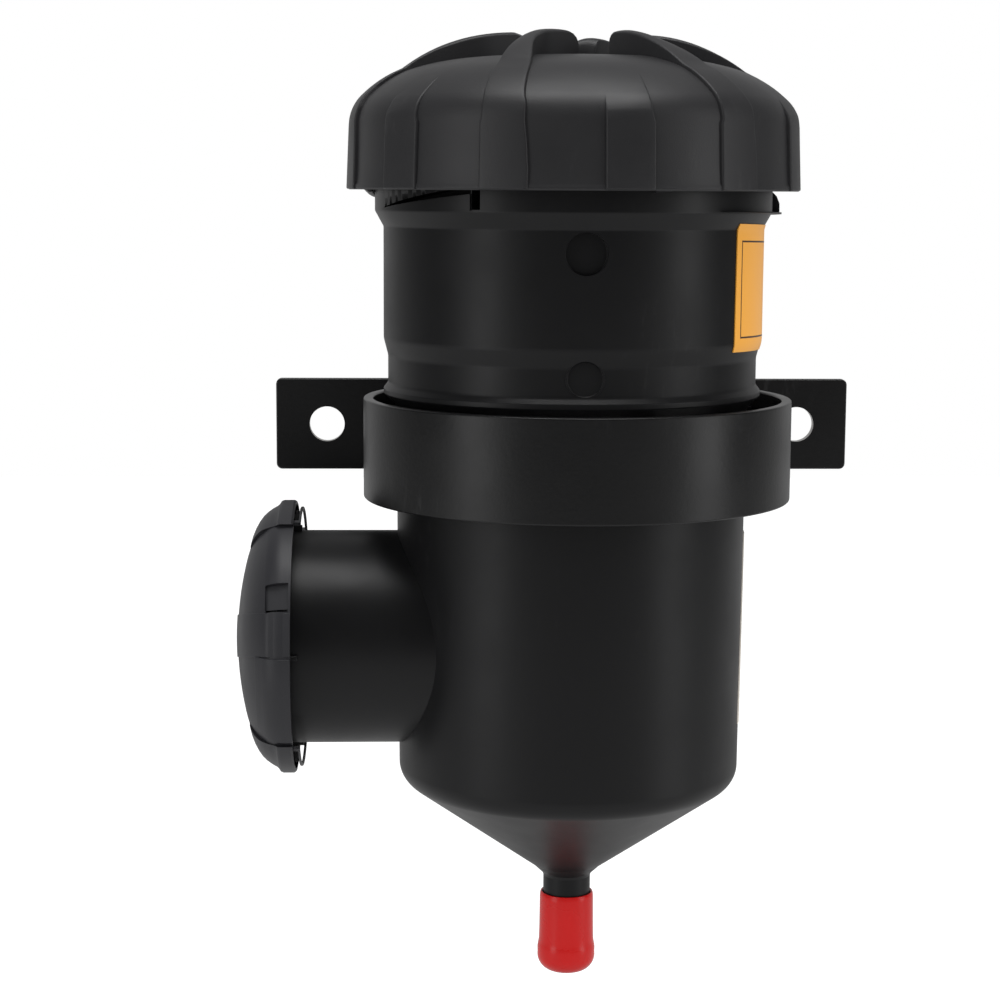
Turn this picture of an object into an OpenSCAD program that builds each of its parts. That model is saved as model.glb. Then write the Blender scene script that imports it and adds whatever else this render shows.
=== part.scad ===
// Oil catch can: a moulded separator with a screw lid, a vacuum regulator on its
// side, a lift-out element, a drain stub and a ring bracket with a flat bar.
// The origin is midway between the two bolt holes, on the back face of the bar.
// Inside each module heights are counted from the lower edge of the lid, and
// radii from the axis of the can. Azimuth 0 is the front, and it grows to the right.

/* [Canister] */
// Outer radius of the upper body
body_r = 49; // [47:0.5:51]
// How far the waist is set in from the upper body
waist_in = 1.15; // [0.6:0.05:2]
// How far the lower body is set in from the upper one
sump_in = 3.5; // [3:0.1:4.5]
// How much the lower body tapers on its radius
sump_taper = 0.5; // [0.2:0.1:1.5]
// Wall thickness of the housing
wall = 2.8; // [2:0.1:3.2]
// Depth of the top of the waist taper below the lid
waist_top = 38; // [36:0.5:40]
// Length of the waist taper
waist_taper = 4.4; // [3:0.1:5]
// Depth of the hem at the foot of the upper body
hem_z = 52.5; // [51:0.5:53]
// Height of the flared hem
hem_h = 3; // [2:0.1:4]
// Depth at which the lower corner of the body starts
corner_z = 150.5; // [146:0.5:156]
// Radius of the lower corner
corner_r = 6.5; // [5:0.5:9]
// Slope of the cone floor
cone_slope = 35.3; // [30:0.1:40]

/* [Neck and collar] */
// How far the collar under the lid stands out from the body
collar_out = 2.2; // [1.6:0.1:2.8]
// Depth of the top of the collar
collar_top = 4.4; // [4:0.1:5]
// Height of the cone under the collar
collar_cone = 5.4; // [4:0.1:7]
// How far the neck is set in from the body
neck_in = 0.4; // [0.2:0.1:0.8]
// Height of the neck above the lid's lower edge
neck_h = 14; // [12:0.5:16]
// Rise of the thread in one turn
lead = 32; // [28:1:36]
// How far the jacking ramps stand out from the body
ramp_out = 5; // [4:0.1:5.4]
// Azimuth at which the first ramp starts
ramp_start = -78.5; // [-82:0.5:-76]
// Angle covered by one ramp
ramp_span = 49; // [44:1:50]
// How far the holding flights stand out from the body
flight_out = 4.6; // [4:0.1:5]
// Angle covered by one holding flight
flight_span = 40; // [36:1:44]
// Thickness of a holding flight
flight_t = 2.6; // [2:0.1:3]

/* [Lid] */
// How far the lid's lower edge stands out from the body
lid_out = 8.7; // [8.2:0.1:9.5]
// Draft of the skirt over its height
skirt_draft = 0.7; // [0.3:0.1:1]
// Height of the straight skirt
skirt_h = 16; // [15:0.5:18]
// Radius of the shoulder
shoulder_r = 10; // [9:0.5:11]
// Radius of the dome between shoulder and crown
dome_r = 30; // [28:1:32]
// Radius of the crown
crown_r = 66; // [60:1:72]
// Wall of the lid
lid_wall = 2.8; // [2.4:0.1:3]
// Height that the grip bands stand proud
band_h = 0.9; // [0.6:0.1:1.2]
// Angle covered by one grip band
band_span = 12; // [10:1:14]
// Number of swirl fins, with one plain band between each pair
fins = 6; // [4:1:7]
// Azimuth of the first fin
fin_azimuth = -20.5; // [-30:0.5:-10]
// Height of the fin crest
fin_top = 39.8; // [38:0.1:41]
// Radius of the crest line seen from the side
fin_crest_r = 45; // [43:1:47]
// Distance from the axis at which a fin ends
fin_end = 14; // [13:0.5:16]
// Distance inside the lid's edge at which a fin is thinnest
fin_thin_in = 23.7; // [20:0.1:28]
// Width of a fin at its thinnest
fin_t = 4.4; // [3.8:0.1:5]
// Curve of the leading side of a fin
fin_lead_r = 39.5; // [38:0.5:42]
// Curve of the trailing side of a fin
fin_trail_r = 130; // [120:5:150]
// Angle covered by one lug inside the skirt
lug_span = 16; // [14:1:16]
// Height of a lug
lug_h = 3.8; // [3.2:0.1:4]
// Depth of the lower face of a lug below the skirt
lug_drop = 2.6; // [2.2:0.1:2.8]
// How far the lugs stand out from the body on their inner side
lug_gap = 1.2; // [0.8:0.1:1.6]
// How far the lid turns before its lugs are free
lid_turn_deg = 50; // [46:1:52]

/* [Lid seal] */
// Thickness of the round seal
seal_d = 2.8; // [2.4:0.1:3]
// Height of the groove above the lid's lower edge
groove_z = 5.4; // [5:0.1:6]
// Clearance round the plug that carries the seal
plug_gap = 0.3; // [0.2:0.05:0.4]
// Wall of the plug
plug_wall = 3.4; // [3:0.1:3.6]

/* [Element] */
// Clearance round the end plates in the lower body
plate_gap = 6.7; // [4.7:0.1:8.7]
// Thickness of the end plates
plate_t = 2.5; // [2:0.1:3]
// Width of the rims that hold the media
plate_lip = 1.4; // [1:0.1:2]
// Thickness of the wound media
media_t = 17.1; // [16:0.1:18]
// Wall of the core tube
core_wall = 1.8; // [1.4:0.1:2.2]
// Height of the top of the element above the lid's lower edge
element_top = 9; // [7:0.5:10]
// Rows of slots in the core
core_rows = 3; // [2:1:4]

/* [Shelf and bypass valve] */
// Depth of the top of the shelf
shelf_z = 86; // [84:0.5:86.5]
// Thickness of the shelf
shelf_t = 3; // [2.4:0.1:3]
// How much the hole in the shelf is smaller than the core tube on its radius
hole_in = 1.5; // [1:0.1:2.5]
// Height of the seat ring for the element
boss_h = 4; // [3:0.5:5]
// Radius of the bypass hole
bypass_hole_r = 6.5; // [5.5:0.1:7]
// Clearance between the valve cage and the wall of the lower body
cage_gap = 1.5; // [1.3:0.1:1.9]
// Radius of the valve disc
bypass_disc_r = 9; // [8.6:0.1:9.4]
// Outer radius of the valve cage
bypass_cage_r = 12; // [11.8:0.1:12.2]
// Height of the valve cage
bypass_cage_h = 16; // [14:0.5:18]
// Stroke of the bypass valve
bypass_stroke = 3; // [2:0.5:4]

/* [Drain] */
// Radius of the spout at the foot of the cone
spout_r = 8; // [7.6:0.1:8.6]
// Outer radius of the drain stub
stub_r = 6.3; // [5.8:0.1:6.6]
// Bore radius of the drain stub
stub_bore_r = 4.2; // [3.6:0.1:4.4]
// Length of the drain stub below the spout
stub_len = 25.5; // [23:0.5:27]
// Depth of the rim of the drain cap below the spout
cap_rim = 7; // [6:0.5:8]
// Wall of the drain cap
cap_wall = 0.75; // [0.7:0.05:1]
// Radius of the bulge near the closed end of the cap
cap_bulge_r = 7.75; // [7.6:0.05:8]
// Thickness of the closed end of the cap
cap_end = 3.4; // [2.5:0.1:4]
// How far the cap is pulled to come off the stub
cap_pull = 24; // [20:1:26]

/* [Hose spigots] */
// Outer radius of the spigots
spigot_r = 12.5; // [11.5:0.1:12.8]
// Bore radius of the spigots
spigot_bore_r = 10; // [9:0.1:10.4]
// Height that the hose bead stands proud
bead_h = 1; // [0.6:0.1:1.4]
// Depth of the inlet below the lid
inlet_z = 24.5; // [24:0.5:25]
// How far the inlet reaches out from the body
inlet_len = 27; // [21:1:31]
// Distance from the tube axis to the end of the outlet
outlet_tip = 60; // [54:1:64]
// Distance of the outlet's axis from the lower body
outlet_off = 6.5; // [5.5:0.5:7.5]

/* [Regulator] */
// Depth of the regulator axis below the lid
reg_z = 117; // [116:0.5:118]
// Outer radius of the regulator tube
tube_r = 28; // [27:0.1:28.5]
// Wall of the regulator tube
tube_wall = 2.6; // [2.2:0.1:2.8]
// Length of the regulator tube from the lower body to its flange
tube_len = 28.1; // [28:0.1:28.5]
// Thickness of the flange
flange_t = 2; // [1.8:0.1:2.2]
// Radius of the flange
flange_r = 32.4; // [32:0.1:32.6]
// How far the cover's rim reaches over the flange
cover_lap = 1.6; // [1.2:0.1:2.6]
// Radius of the cover at its rim
cover_r = 34.9; // [34.6:0.1:35.4]
// Width of the straight band at the rim
cover_band = 2; // [1.6:0.1:3]
// Radius of the cover's rounded edge
cover_edge_r = 6; // [5.5:0.1:6.5]
// Radius of the cover's domed face
cover_face_r = 60; // [58:1:64]
// Wall of the cover
cover_wall = 1.6; // [1.4:0.1:1.7]
// Height that the grip lobes stand proud
lobe_h = 1.1; // [0.8:0.1:1.4]
// Half angle of the upper and lower grip lobes
lobe_half = 35; // [30:1:40]
// Distance from the tube's axis at which a grip lobe ends
lobe_in = 24; // [20:1:27]
// Width of the rib across the cover
rib_w = 11.4; // [10:0.2:12]
// Radius of the diaphragm plate
reg_plate_r = 16; // [15:0.5:17]
// Thickness of the diaphragm plate
reg_plate_t = 1.6; // [1.4:0.1:1.8]
// Thickness of the diaphragm
diaphragm_t = 0.8; // [0.6:0.1:1]
// Thickness of the diaphragm's clamped bead
bead_t = 1.5; // [1.3:0.1:1.7]
// Distance from the back of the flange to the diaphragm at rest
diaphragm_off = 5; // [4.6:0.1:5.4]
// Thickness of the valve disc
valve_t = 2; // [1.6:0.1:2.2]
// Stroke of the regulator
reg_stroke = 3.5; // [2.5:0.5:3.5]
// Outer radius of the seat tube
seat_r = 10.5; // [10:0.1:11]
// Bore radius of the seat tube
seat_bore_r = 8.5; // [8:0.1:8.8]

/* [Bracket] */
// How far the ring stands out from the upper body
ring_out = 6.8; // [6:0.1:8]
// How far the can sits off the middle of the ring, to the left
ring_off = 1.5; // [0:0.1:1.8]
// Wall of the ring
ring_wall = 2.6; // [2.2:0.1:3]
// Height of the ring and of the bar
ring_h = 26; // [25:0.5:26.5]
// Depth of the top of the ring below the lid
ring_top = 53.5; // [53.2:0.1:54]
// Thickness of the ledge inside the ring
ledge_t = 2; // [1.5:0.5:3]
// Length of the bar
bar_len = 164; // [158:1:170]
// Thickness of the bar
bar_t = 3; // [2.5:0.5:4]
// Distance of a bolt hole from the end of the bar
hole_inset = 14.5; // [12:0.5:16]
// Radius of a bolt hole
hole_r = 5; // [4:0.25:5.5]
// Number of ribs that centre the can in the ring
centring_ribs = 8; // [6:2:8]
// Thickness of a centring rib
rib_t = 2.4; // [2:0.1:3]

/* [Labels and moulding marks] */
// Thickness of the labels
label_t = 0.25; // [0.2:0.05:0.4]
// Azimuth of the near edge of the upper label
label_start = 54; // [50:1:58]
// Angle covered by the upper label
label_span = 62; // [50:1:70]
// Depth of the top of the upper label
label_top = 8.5; // [8:0.1:9]
// Depth of the foot of the upper label
label_foot = 41.6; // [41:0.1:42]
// Azimuth of the near edge of the lower label
low_label_start = 77; // [74:1:80]
// Angle covered by the lower label
low_label_span = 60; // [50:1:70]
// Depth of the top of the lower label
low_label_top = 88; // [87:0.5:90]
// Depth of the foot of the lower label
low_label_foot = 143; // [138:1:145]
// Radius of the upper round recess
mark_big_r = 5.2; // [4:0.1:6]
// Depth of the centre of the upper round recess below the lid
mark_big_z = 15; // [14:0.5:17]
// Radius of the lower round recess
mark_small_r = 4.4; // [3:0.1:5]
// Depth of the centre of the lower round recess below the lid
mark_small_z = 45; // [44:0.5:46]

/* [Fits] */
// Sliding clearance on a radius
fit = 0.05; // [0.03:0.01:0.08]
// Gap where one piece rests on another
rest = 0.3; // [0.2:0.05:0.35]

/* [Hidden] */
$fn = 96;
eps = 0.01;
over = 1;

// Radii that follow the body
waist_r = body_r - waist_in;
sump_r = body_r - sump_in;
sump_foot_r = sump_r - sump_taper;
collar_r = body_r + collar_out;
neck_r = body_r - neck_in;
ramp_r = body_r + ramp_out;
flight_r = body_r + flight_out;
lid_r = body_r + lid_out;
lug_r = body_r + lug_gap;
body_bore_r = body_r - wall;
sump_bore_r = sump_r - wall;
ring_r = body_r + ring_out;
ring_bore_r = ring_r - ring_wall;
hole_pitch = bar_len - 2 * hole_inset;

// Element and valve, from the wall inwards
plate_r = sump_bore_r - plate_gap;
media_r = plate_r - plate_lip;
core_r = media_r - media_t;
shelf_hole_r = core_r - hole_in;
bypass_off = sump_bore_r - bypass_cage_r - cage_gap;

// Distances from the axis of the can
inlet_tip = body_r + inlet_len;
outlet_x = sump_r + outlet_off;
flange_x = sump_r + tube_len;
cover_rim_x = flange_x - cover_lap;
diaphragm_x = flange_x + diaphragm_off;
fin_thin_at = lid_r - fin_thin_in;
fin_crest_in = 40.7;

// Where the can stands in the frame of the bracket
axis_y = ring_r + bar_t;
edge_z = ring_top + ring_h / 2;

// Angles at which the arcs of the lid meet
shoulder_end = 45;
dome_end = 74;
crown_end = 90;
skirt_top_r = lid_r - skirt_draft;
shoulder_c = [skirt_top_r - shoulder_r, skirt_h];
dome_c = shoulder_c + (shoulder_r - dome_r) * [cos(shoulder_end), sin(shoulder_end)];
crown_c = dome_c + (dome_r - crown_r) * [cos(dome_end), sin(dome_end)];
lid_top = crown_c[1] + crown_r;

plug_r = body_bore_r - plug_gap;
thread_repeat = 120;
thread_rise = lead / 360;
lug_start = ramp_start - 8 - lug_span;
lug_mid_z = lug_h / 2 - lug_drop;
flight_z = lug_mid_z + (lug_h + flight_t) / 2 + rest + thread_rise * (flight_span - lug_span) / 2;

cone_rise = tan(cone_slope);
corner_c = [sump_foot_r - corner_r, -corner_z];
cone_start = corner_c + corner_r * [sin(cone_slope), -cos(cone_slope)];
spout_z = cone_start[1] - (cone_start[0] - spout_r) * cone_rise;
inner_corner = corner_c + (corner_r - wall) * [sin(cone_slope), -cos(cone_slope)];
inner_spout_z = inner_corner[1] - (inner_corner[0] - stub_bore_r) * cone_rise;
stub_tip = spout_z - stub_len;
stub_edge = 0.7;

element_foot = boss_h - shelf_z;
core_bore_r = core_r - core_wall;
hub_wall = 4.2;
hub_r = shelf_hole_r - rest;
hub_bore_r = hub_r - hub_wall;
hub_len = 5;
element_seal_d = 2;
core_slot_w = 5;

bypass_seat_z = -shelf_z - shelf_t;
facing_t = 1.5;
disc_t = 1.5;
stem_r = 2;
cage_wall = 1.2;

tube_bore_r = tube_r - tube_wall;
flange_face = flange_x + flange_t;
bead_face = flange_face + bead_t;
valve_face = diaphragm_x - valve_t;
seat_tip = valve_face - reg_stroke - 2 * fit;
spring_seat_r = 16;
spring_seat_t = 1.4;
edge_end = 60;
cover_edge_c = [cover_r - cover_edge_r, cover_band];
cover_face_c = cover_edge_c + (cover_edge_r - cover_face_r) * [cos(edge_end), sin(edge_end)];
cover_depth = cover_face_c[1] + cover_face_r;

function arc(c, r, from, to, steps) =
    [for (i = [0:steps]) c + r * [cos(from + (to - from) * i / steps), sin(from + (to - from) * i / steps)]];

// Outline of the lid from its lower edge to the axis, moved outwards by d
function lid_curve(d) = concat(
    [[lid_r + d, 0]],
    arc(shoulder_c, shoulder_r + d, 0, shoulder_end, 4),
    arc(dome_c, dome_r + d, shoulder_end + 7, dome_end, 3),
    arc(crown_c, crown_r + d, dome_end + 5, crown_end, 2));

// Height of the middle of the lid's wall over the dome
function lid_mid_z(r) = dome_c[1] + sqrt(pow(dome_r - lid_wall / 2, 2) - pow(r - dome_c[0], 2));

// How far the ring's bore lies from the axis of the can at an azimuth
function ring_reach(a) = ring_off * sin(a) + sqrt(pow(ring_bore_r, 2) - pow(ring_off * cos(a), 2));

module placed() translate([-ring_off, -axis_y, edge_z]) children();
module at_azimuth(a) rotate([0, 0, a - 90]) children();
module sector(a, span) at_azimuth(a) rotate_extrude(angle = span) children();
module along_tube() translate([0, 0, -reg_z]) rotate([0, -90, 0]) children();

// A helical step: the part of a ring sector between two planes that climb with the thread
module helical_step(start, span, inner, outer, height, z) {
    slope = atan(thread_rise * 180 / (PI * (inner + outer) / 2));
    intersection() {
        sector(start, span) translate([inner, z - span]) square([outer - inner, 2 * span]);
        at_azimuth(start + span / 2) translate([0, 0, z]) rotate([slope, 0, 0])
            translate([0, -outer, -height / 2]) cube([2 * outer, 2 * outer, height]);
    }
}

// A coil spring with closed ends, from z = 0 up to its free height
module coil(mean_r, wire_r, height, turns) {
    sides = 6;
    per_turn = 14;
    rings = turns * per_turn;
    rise = height - 2 * wire_r;
    points = [for (i = [0:rings], k = [0:sides - 1])
        let (a = 360 * i / per_turn, b = 360 * k / sides, r = mean_r + wire_r * cos(b))
        [r * cos(a), r * sin(a), wire_r + rise * i / rings + wire_r * sin(b)]];
    skin = [for (i = [0:rings - 1], k = [0:sides - 1])
        let (n = (k + 1) % sides)
        [i * sides + k, (i + 1) * sides + k, (i + 1) * sides + n, i * sides + n]];
    first = [for (k = [0:sides - 1]) k];
    last = [for (k = [sides - 1:-1:0]) rings * sides + k];
    polyhedron(points = points, faces = concat(skin, [first, last]));
}

// Hose spigot along +Z from the origin, with a bead at its end
module spigot(length) {
    bead_len = 2.2;
    edge = 1.5;
    rotate_extrude() polygon([
        [0, 0], [spigot_r, 0], [spigot_r, length - 4 * edge],
        [spigot_r + bead_h, length - 4 * edge + bead_h], [spigot_r + bead_h, length - 4 * edge + bead_len],
        [spigot_r - bead_h / 2, length], [0, length]]);
}

module can_outside() {
    rotate_extrude() polygon(concat(
        [[0, stub_tip], [stub_r - stub_edge, stub_tip], [stub_r, stub_tip + stub_edge],
         [stub_r, spout_z - 1.6], [spout_r, spout_z]],
        arc(corner_c, corner_r, cone_slope - 90, 0, 4),
        [[sump_r, -shelf_z], [sump_r, -hem_z - wall], [body_r, -hem_z], [body_r, -hem_z + hem_h / 2],
         [waist_r, -hem_z + hem_h], [waist_r, -waist_top - waist_taper], [body_r, -waist_top],
         [body_r, -collar_top - collar_cone], [collar_r, -collar_top - collar_cone / 4],
         [collar_r, -collar_top], [neck_r, -collar_top], [neck_r, neck_h - 1], [neck_r - 1, neck_h],
         [0, neck_h]]));
}

module upper_chamber() {
    rotate_extrude() polygon([
        [0, -shelf_z], [sump_bore_r, -shelf_z], [sump_bore_r, -hem_z + hem_h / 2],
        [waist_r - wall, -hem_z + 2 * hem_h], [waist_r - wall, -waist_top - waist_taper + wall / 2],
        [body_bore_r, -waist_top + wall / 2], [body_bore_r, neck_h + over], [0, neck_h + over]]);
}

module lower_chamber() {
    rotate_extrude() polygon(concat(
        [[0, inner_spout_z], [stub_bore_r, inner_spout_z]],
        arc(corner_c, corner_r - wall, cone_slope - 90, 0, 3),
        [[sump_bore_r, bypass_seat_z], [0, bypass_seat_z]]));
}

module regulator_outside() {
    along_tube() {
        cylinder(r = tube_r, h = flange_face - eps);
        translate([0, 0, flange_x]) cylinder(r = flange_r, h = flange_t);
        for (a = [0:90:359]) rotate([0, 0, a]) flange_gusset();
    }
}

// Small web between the tube and its flange
module flange_gusset() {
    web = 1.2;
    reach = 3.6;
    translate([0, web / 2, 0]) rotate([90, 0, 0]) linear_extrude(web)
        polygon([[tube_r - over, flange_x - reach], [tube_r, flange_x - reach],
            [flange_r - 1, flange_x - rest], [flange_r - 1, flange_x + over],
            [tube_r - over, flange_x + over]]);
}

module centring_rib(reach) {
    lead_in = 4;
    translate([0, rib_t / 2, 0]) rotate([90, 0, 0]) linear_extrude(rib_t)
        polygon([[sump_r - wall / 2, -hem_z - wall / 2], [reach - lead_in, -hem_z - wall / 2],
            [reach, -ring_top - lead_in], [reach, -ring_top - ring_h + ledge_t],
            [sump_r - wall / 2, -ring_top - ring_h + ledge_t]]);
}

module seat_duct_outside() {
    along_tube() translate([0, 0, outlet_x]) cylinder(r = seat_r, h = seat_tip - outlet_x);
    translate([-outlet_x, -spigot_r, -reg_z]) rotate([-90, 0, 0]) cylinder(r = spigot_r, h = tube_r + spigot_r);
}

module seat_duct_bore() {
    along_tube() translate([0, 0, outlet_x]) cylinder(r = seat_bore_r, h = seat_tip - outlet_x + over);
    translate([-outlet_x, wall - spigot_r, -reg_z]) rotate([-90, 0, 0])
        cylinder(r = spigot_bore_r, h = outlet_tip + spigot_r);
}

module housing() {
    color("#1b1b1d") placed() difference() {
        union() {
            difference() {
                union() {
                    can_outside();
                    regulator_outside();
                    at_azimuth(180) translate([body_bore_r + wall / 2, 0, -inlet_z]) rotate([0, 90, 0])
                        spigot(inlet_tip - body_bore_r - wall / 2);
                    translate([-outlet_x, tube_bore_r - wall, -reg_z]) rotate([-90, 0, 0])
                        spigot(outlet_tip - tube_bore_r + wall);
                    for (i = [0:centring_ribs - 1])
                        let (a = (i + 0.5) * 360 / centring_ribs)
                        at_azimuth(a) centring_rib(ring_reach(a) - 2 * fit);
                    for (a = [0:thread_repeat:359]) {
                        helical_step(ramp_start + a, ramp_span, neck_r - over, ramp_r,
                            ramp_span * thread_rise, -collar_top - eps);
                        helical_step(lug_start + a, flight_span, neck_r - over, flight_r, flight_t, flight_z);
                    }
                }
                upper_chamber();
                lower_chamber();
                along_tube() translate([0, 0, sump_bore_r - 4 * wall])
                    cylinder(r = tube_bore_r, h = flange_face - sump_bore_r + 4 * wall + over);
            }
            seat_duct_outside();
            translate([0, 0, -shelf_z - eps]) cylinder(r = shelf_hole_r + 4, h = boss_h + eps);
        }
        seat_duct_bore();
        at_azimuth(180) translate([body_bore_r - wall, 0, -inlet_z]) rotate([0, 90, 0])
            cylinder(r = spigot_bore_r, h = inlet_tip);
        translate([0, 0, -shelf_z - 2 * shelf_t]) cylinder(r = shelf_hole_r, h = 2 * shelf_t + boss_h + over);
        translate([0, bypass_off, -shelf_z - 2 * shelf_t]) cylinder(r = bypass_hole_r, h = 3 * shelf_t);
        translate([0, 0, stub_tip - over]) cylinder(r = stub_bore_r, h = stub_len + wall + over);
        at_azimuth(0) translate([body_r - wall / 2, 0, -mark_big_z]) rotate([0, 90, 0])
            cylinder(r = mark_big_r, h = wall);
        at_azimuth(0) translate([waist_r - wall / 4, 0, -mark_small_z]) rotate([0, 90, 0])
            cylinder(r = mark_small_r, h = wall);
    }
}

module lid_shell() {
    plug_foot = groove_z - 2.4;
    plug_edge = 0.6;
    hold_in = 20;
    hold_out = 22.2;
    rotate_extrude() difference() {
        union() {
            difference() {
                polygon(concat(lid_curve(0), [[0, lid_top], [0, 0]]));
                polygon(concat([[lid_r - lid_wall, -over]], lid_curve(-lid_wall),
                    [[0, lid_top - lid_wall], [0, -over]]));
            }
            polygon([
                [plug_r - plug_wall, plug_foot], [plug_r - plug_edge, plug_foot], [plug_r, plug_foot + plug_edge],
                [plug_r, neck_h + rest], [neck_r, neck_h + rest], [neck_r, lid_mid_z(neck_r)],
                [plug_r - plug_wall, lid_mid_z(plug_r - plug_wall)]]);
            translate([hold_in, element_top + rest])
                square([hold_out - hold_in, lid_top - lid_wall / 2 - element_top - rest]);
        }
        translate([plug_r - seal_d + 0.2, groove_z]) square([seal_d, seal_d + 2 * fit]);
    }
}

// Band that fades into the shoulder
module plain_band() {
    fade = 12;
    rise = arc(shoulder_c, shoulder_r + band_h, 0, shoulder_end - fade, 3);
    back = arc(shoulder_c, shoulder_r - lid_wall / 2, shoulder_end, 0, 2);
    rotate_extrude(angle = band_span) polygon(concat(
        [[lid_r + band_h, 0]], rise, back, [[lid_r - lid_wall / 2, 0]]));
}

// Band that runs on over the dome under its fin
module fin_band() {
    fade = 5;
    rise = arc(shoulder_c, shoulder_r + band_h, 0, shoulder_end - fade, 3);
    back = arc(shoulder_c, shoulder_r - lid_wall / 2, shoulder_end - fade, 0, 2);
    rotate_extrude(angle = band_span) polygon(concat(
        [[lid_r + band_h, 0]], rise, back, [[lid_r - lid_wall / 2, 0]]));
}

// Plan of a fin whose band lies on +X: two arcs that pinch together and swirl
module fin_plan() {
    inset = 0.25;
    foot_in = 3;
    trail_at = fin_thin_at + 14;
    half_w = lid_r * sin(band_span / 2) - inset;
    intersection() {
        translate([fin_end, -half_w]) square([skirt_top_r - fin_end - foot_in, 2 * half_w]);
        difference() {
            translate([trail_at, fin_trail_r - half_w]) circle(r = fin_trail_r);
            translate([fin_thin_at, fin_lead_r + fin_t - half_w - inset]) circle(r = fin_lead_r);
        }
    }
}

// Solid under the crest line of the fins
module fin_crest() {
    c = [lid_r - fin_crest_in, fin_top - fin_crest_r];
    depth = lid_wall * 3 / 4;
    rotate_extrude() difference() {
        polygon(concat(
            [[0, skirt_h], [skirt_top_r, skirt_h]],
            arc(shoulder_c, shoulder_r + band_h / 2, 20, shoulder_end - 3, 1),
            arc(dome_c, dome_r + band_h, shoulder_end + 7, 64, 2),
            arc(c, fin_crest_r, 54, 90, 5),
            [[0, fin_top]]));
        polygon(concat(lid_curve(-depth), [[0, lid_top - depth], [0, 0]]));
    }
}

module lid() {
    color("#232325") placed() union() {
        lid_shell();
        for (i = [0:fins - 1]) {
            at_azimuth(fin_azimuth - band_span / 2 + i * 360 / fins) fin_band();
            at_azimuth(fin_azimuth - band_span / 2 + (i + 0.5) * 360 / fins) plain_band();
            at_azimuth(fin_azimuth + i * 360 / fins) intersection() {
                linear_extrude(fin_top + over) fin_plan();
                fin_crest();
            }
        }
        for (a = [0:thread_repeat:359])
            helical_step(lug_start + a, lug_span, lug_r, lid_r - (lid_wall + skirt_draft) / 2, lug_h, lug_mid_z);
    }
}

module lid_seal() {
    color("#2a2a2a") placed() rotate_extrude()
        translate([body_bore_r - fit - seal_d / 2, groove_z + seal_d / 2 + fit]) circle(r = seal_d / 2);
}

module element_top_plate() {
    grip_w = 30;
    grip_t = 5;
    grip_h = 9;
    finger_r = 4.5;
    color("#3a3d42") placed() translate([0, 0, element_top - plate_t]) {
        cylinder(r = plate_r, h = plate_t);
        difference() {
            translate([0, 0, -plate_t]) cylinder(r = plate_r, h = plate_t + eps);
            translate([0, 0, -plate_t - over]) cylinder(r = media_r, h = plate_t + over);
        }
        difference() {
            translate([-grip_w / 2, -grip_t / 2, plate_t - eps]) cube([grip_w, grip_t, grip_h]);
            translate([0, grip_t, plate_t + finger_r / 2]) rotate([90, 0, 0])
                cylinder(r = finger_r, h = 2 * grip_t);
        }
    }
}

module element_media() {
    foot = element_foot + plate_t + fit;
    color("#d9d6cc") placed() translate([0, 0, foot]) difference() {
        cylinder(r = media_r - fit, h = element_top - plate_t - fit - foot);
        translate([0, 0, -over]) cylinder(r = core_r + fit, h = element_top - foot + over);
    }
}

module element_core() {
    foot = element_foot + plate_t;
    length = element_top - plate_t - foot;
    row = length / core_rows;
    bar = 6;
    color("#44474c") placed() translate([0, 0, foot]) difference() {
        cylinder(r = core_r, h = length);
        translate([0, 0, -over]) cylinder(r = core_bore_r, h = length + 2 * over);
        for (k = [0:core_rows - 1], a = [0:45:179])
            rotate([0, 0, a]) translate([-core_r - over, -core_slot_w / 2, k * row + bar / 2])
                cube([2 * core_r + 2 * over, core_slot_w, row - bar]);
    }
}

module element_bottom_plate() {
    groove_h = element_seal_d + 2 * fit;
    color("#3a3d42") placed() translate([0, 0, element_foot]) difference() {
        union() {
            cylinder(r = plate_r, h = plate_t);
            difference() {
                translate([0, 0, eps]) cylinder(r = plate_r, h = 2 * plate_t);
                cylinder(r = media_r, h = 3 * plate_t);
            }
            translate([0, 0, -boss_h - hub_len]) cylinder(r = hub_r, h = boss_h + hub_len + eps);
        }
        translate([0, 0, -boss_h - hub_len - over])
            cylinder(r = hub_bore_r, h = boss_h + hub_len + plate_t + 2 * over);
        translate([0, 0, -boss_h]) rotate_extrude()
            translate([shelf_hole_r - element_seal_d - 2 * fit, 0]) square([element_seal_d + over, groove_h]);
    }
}

module element_seal() {
    color("#2a2a2a") placed() translate([0, 0, element_foot - boss_h + element_seal_d / 2 + fit]) rotate_extrude()
        translate([shelf_hole_r - fit - element_seal_d / 2, 0]) circle(r = element_seal_d / 2);
}

module mounting_bracket() {
    edge = 1.5;
    weld_w = 24;
    color("#101011") placed() translate([ring_off, 0, -ring_top - ring_h]) difference() {
        union() {
            cylinder(r = ring_r, h = ring_h);
            translate([-weld_w / 2, ring_r - ring_wall + fit, 0]) cube([weld_w, ring_wall, ring_h]);
            translate([-bar_len / 2, ring_r, 0]) cube([bar_len, bar_t, ring_h]);
        }
        translate([0, 0, ledge_t]) cylinder(r = ring_bore_r, h = ring_h);
        translate([-ring_off, 0, -over]) cylinder(r = sump_r + edge, h = ring_h);
        for (s = [-1, 1]) translate([s * hole_pitch / 2, ring_r + bar_t + over, ring_h / 2]) rotate([90, 0, 0])
            cylinder(r = hole_r, h = bar_t + 2 * over);
    }
}

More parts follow.
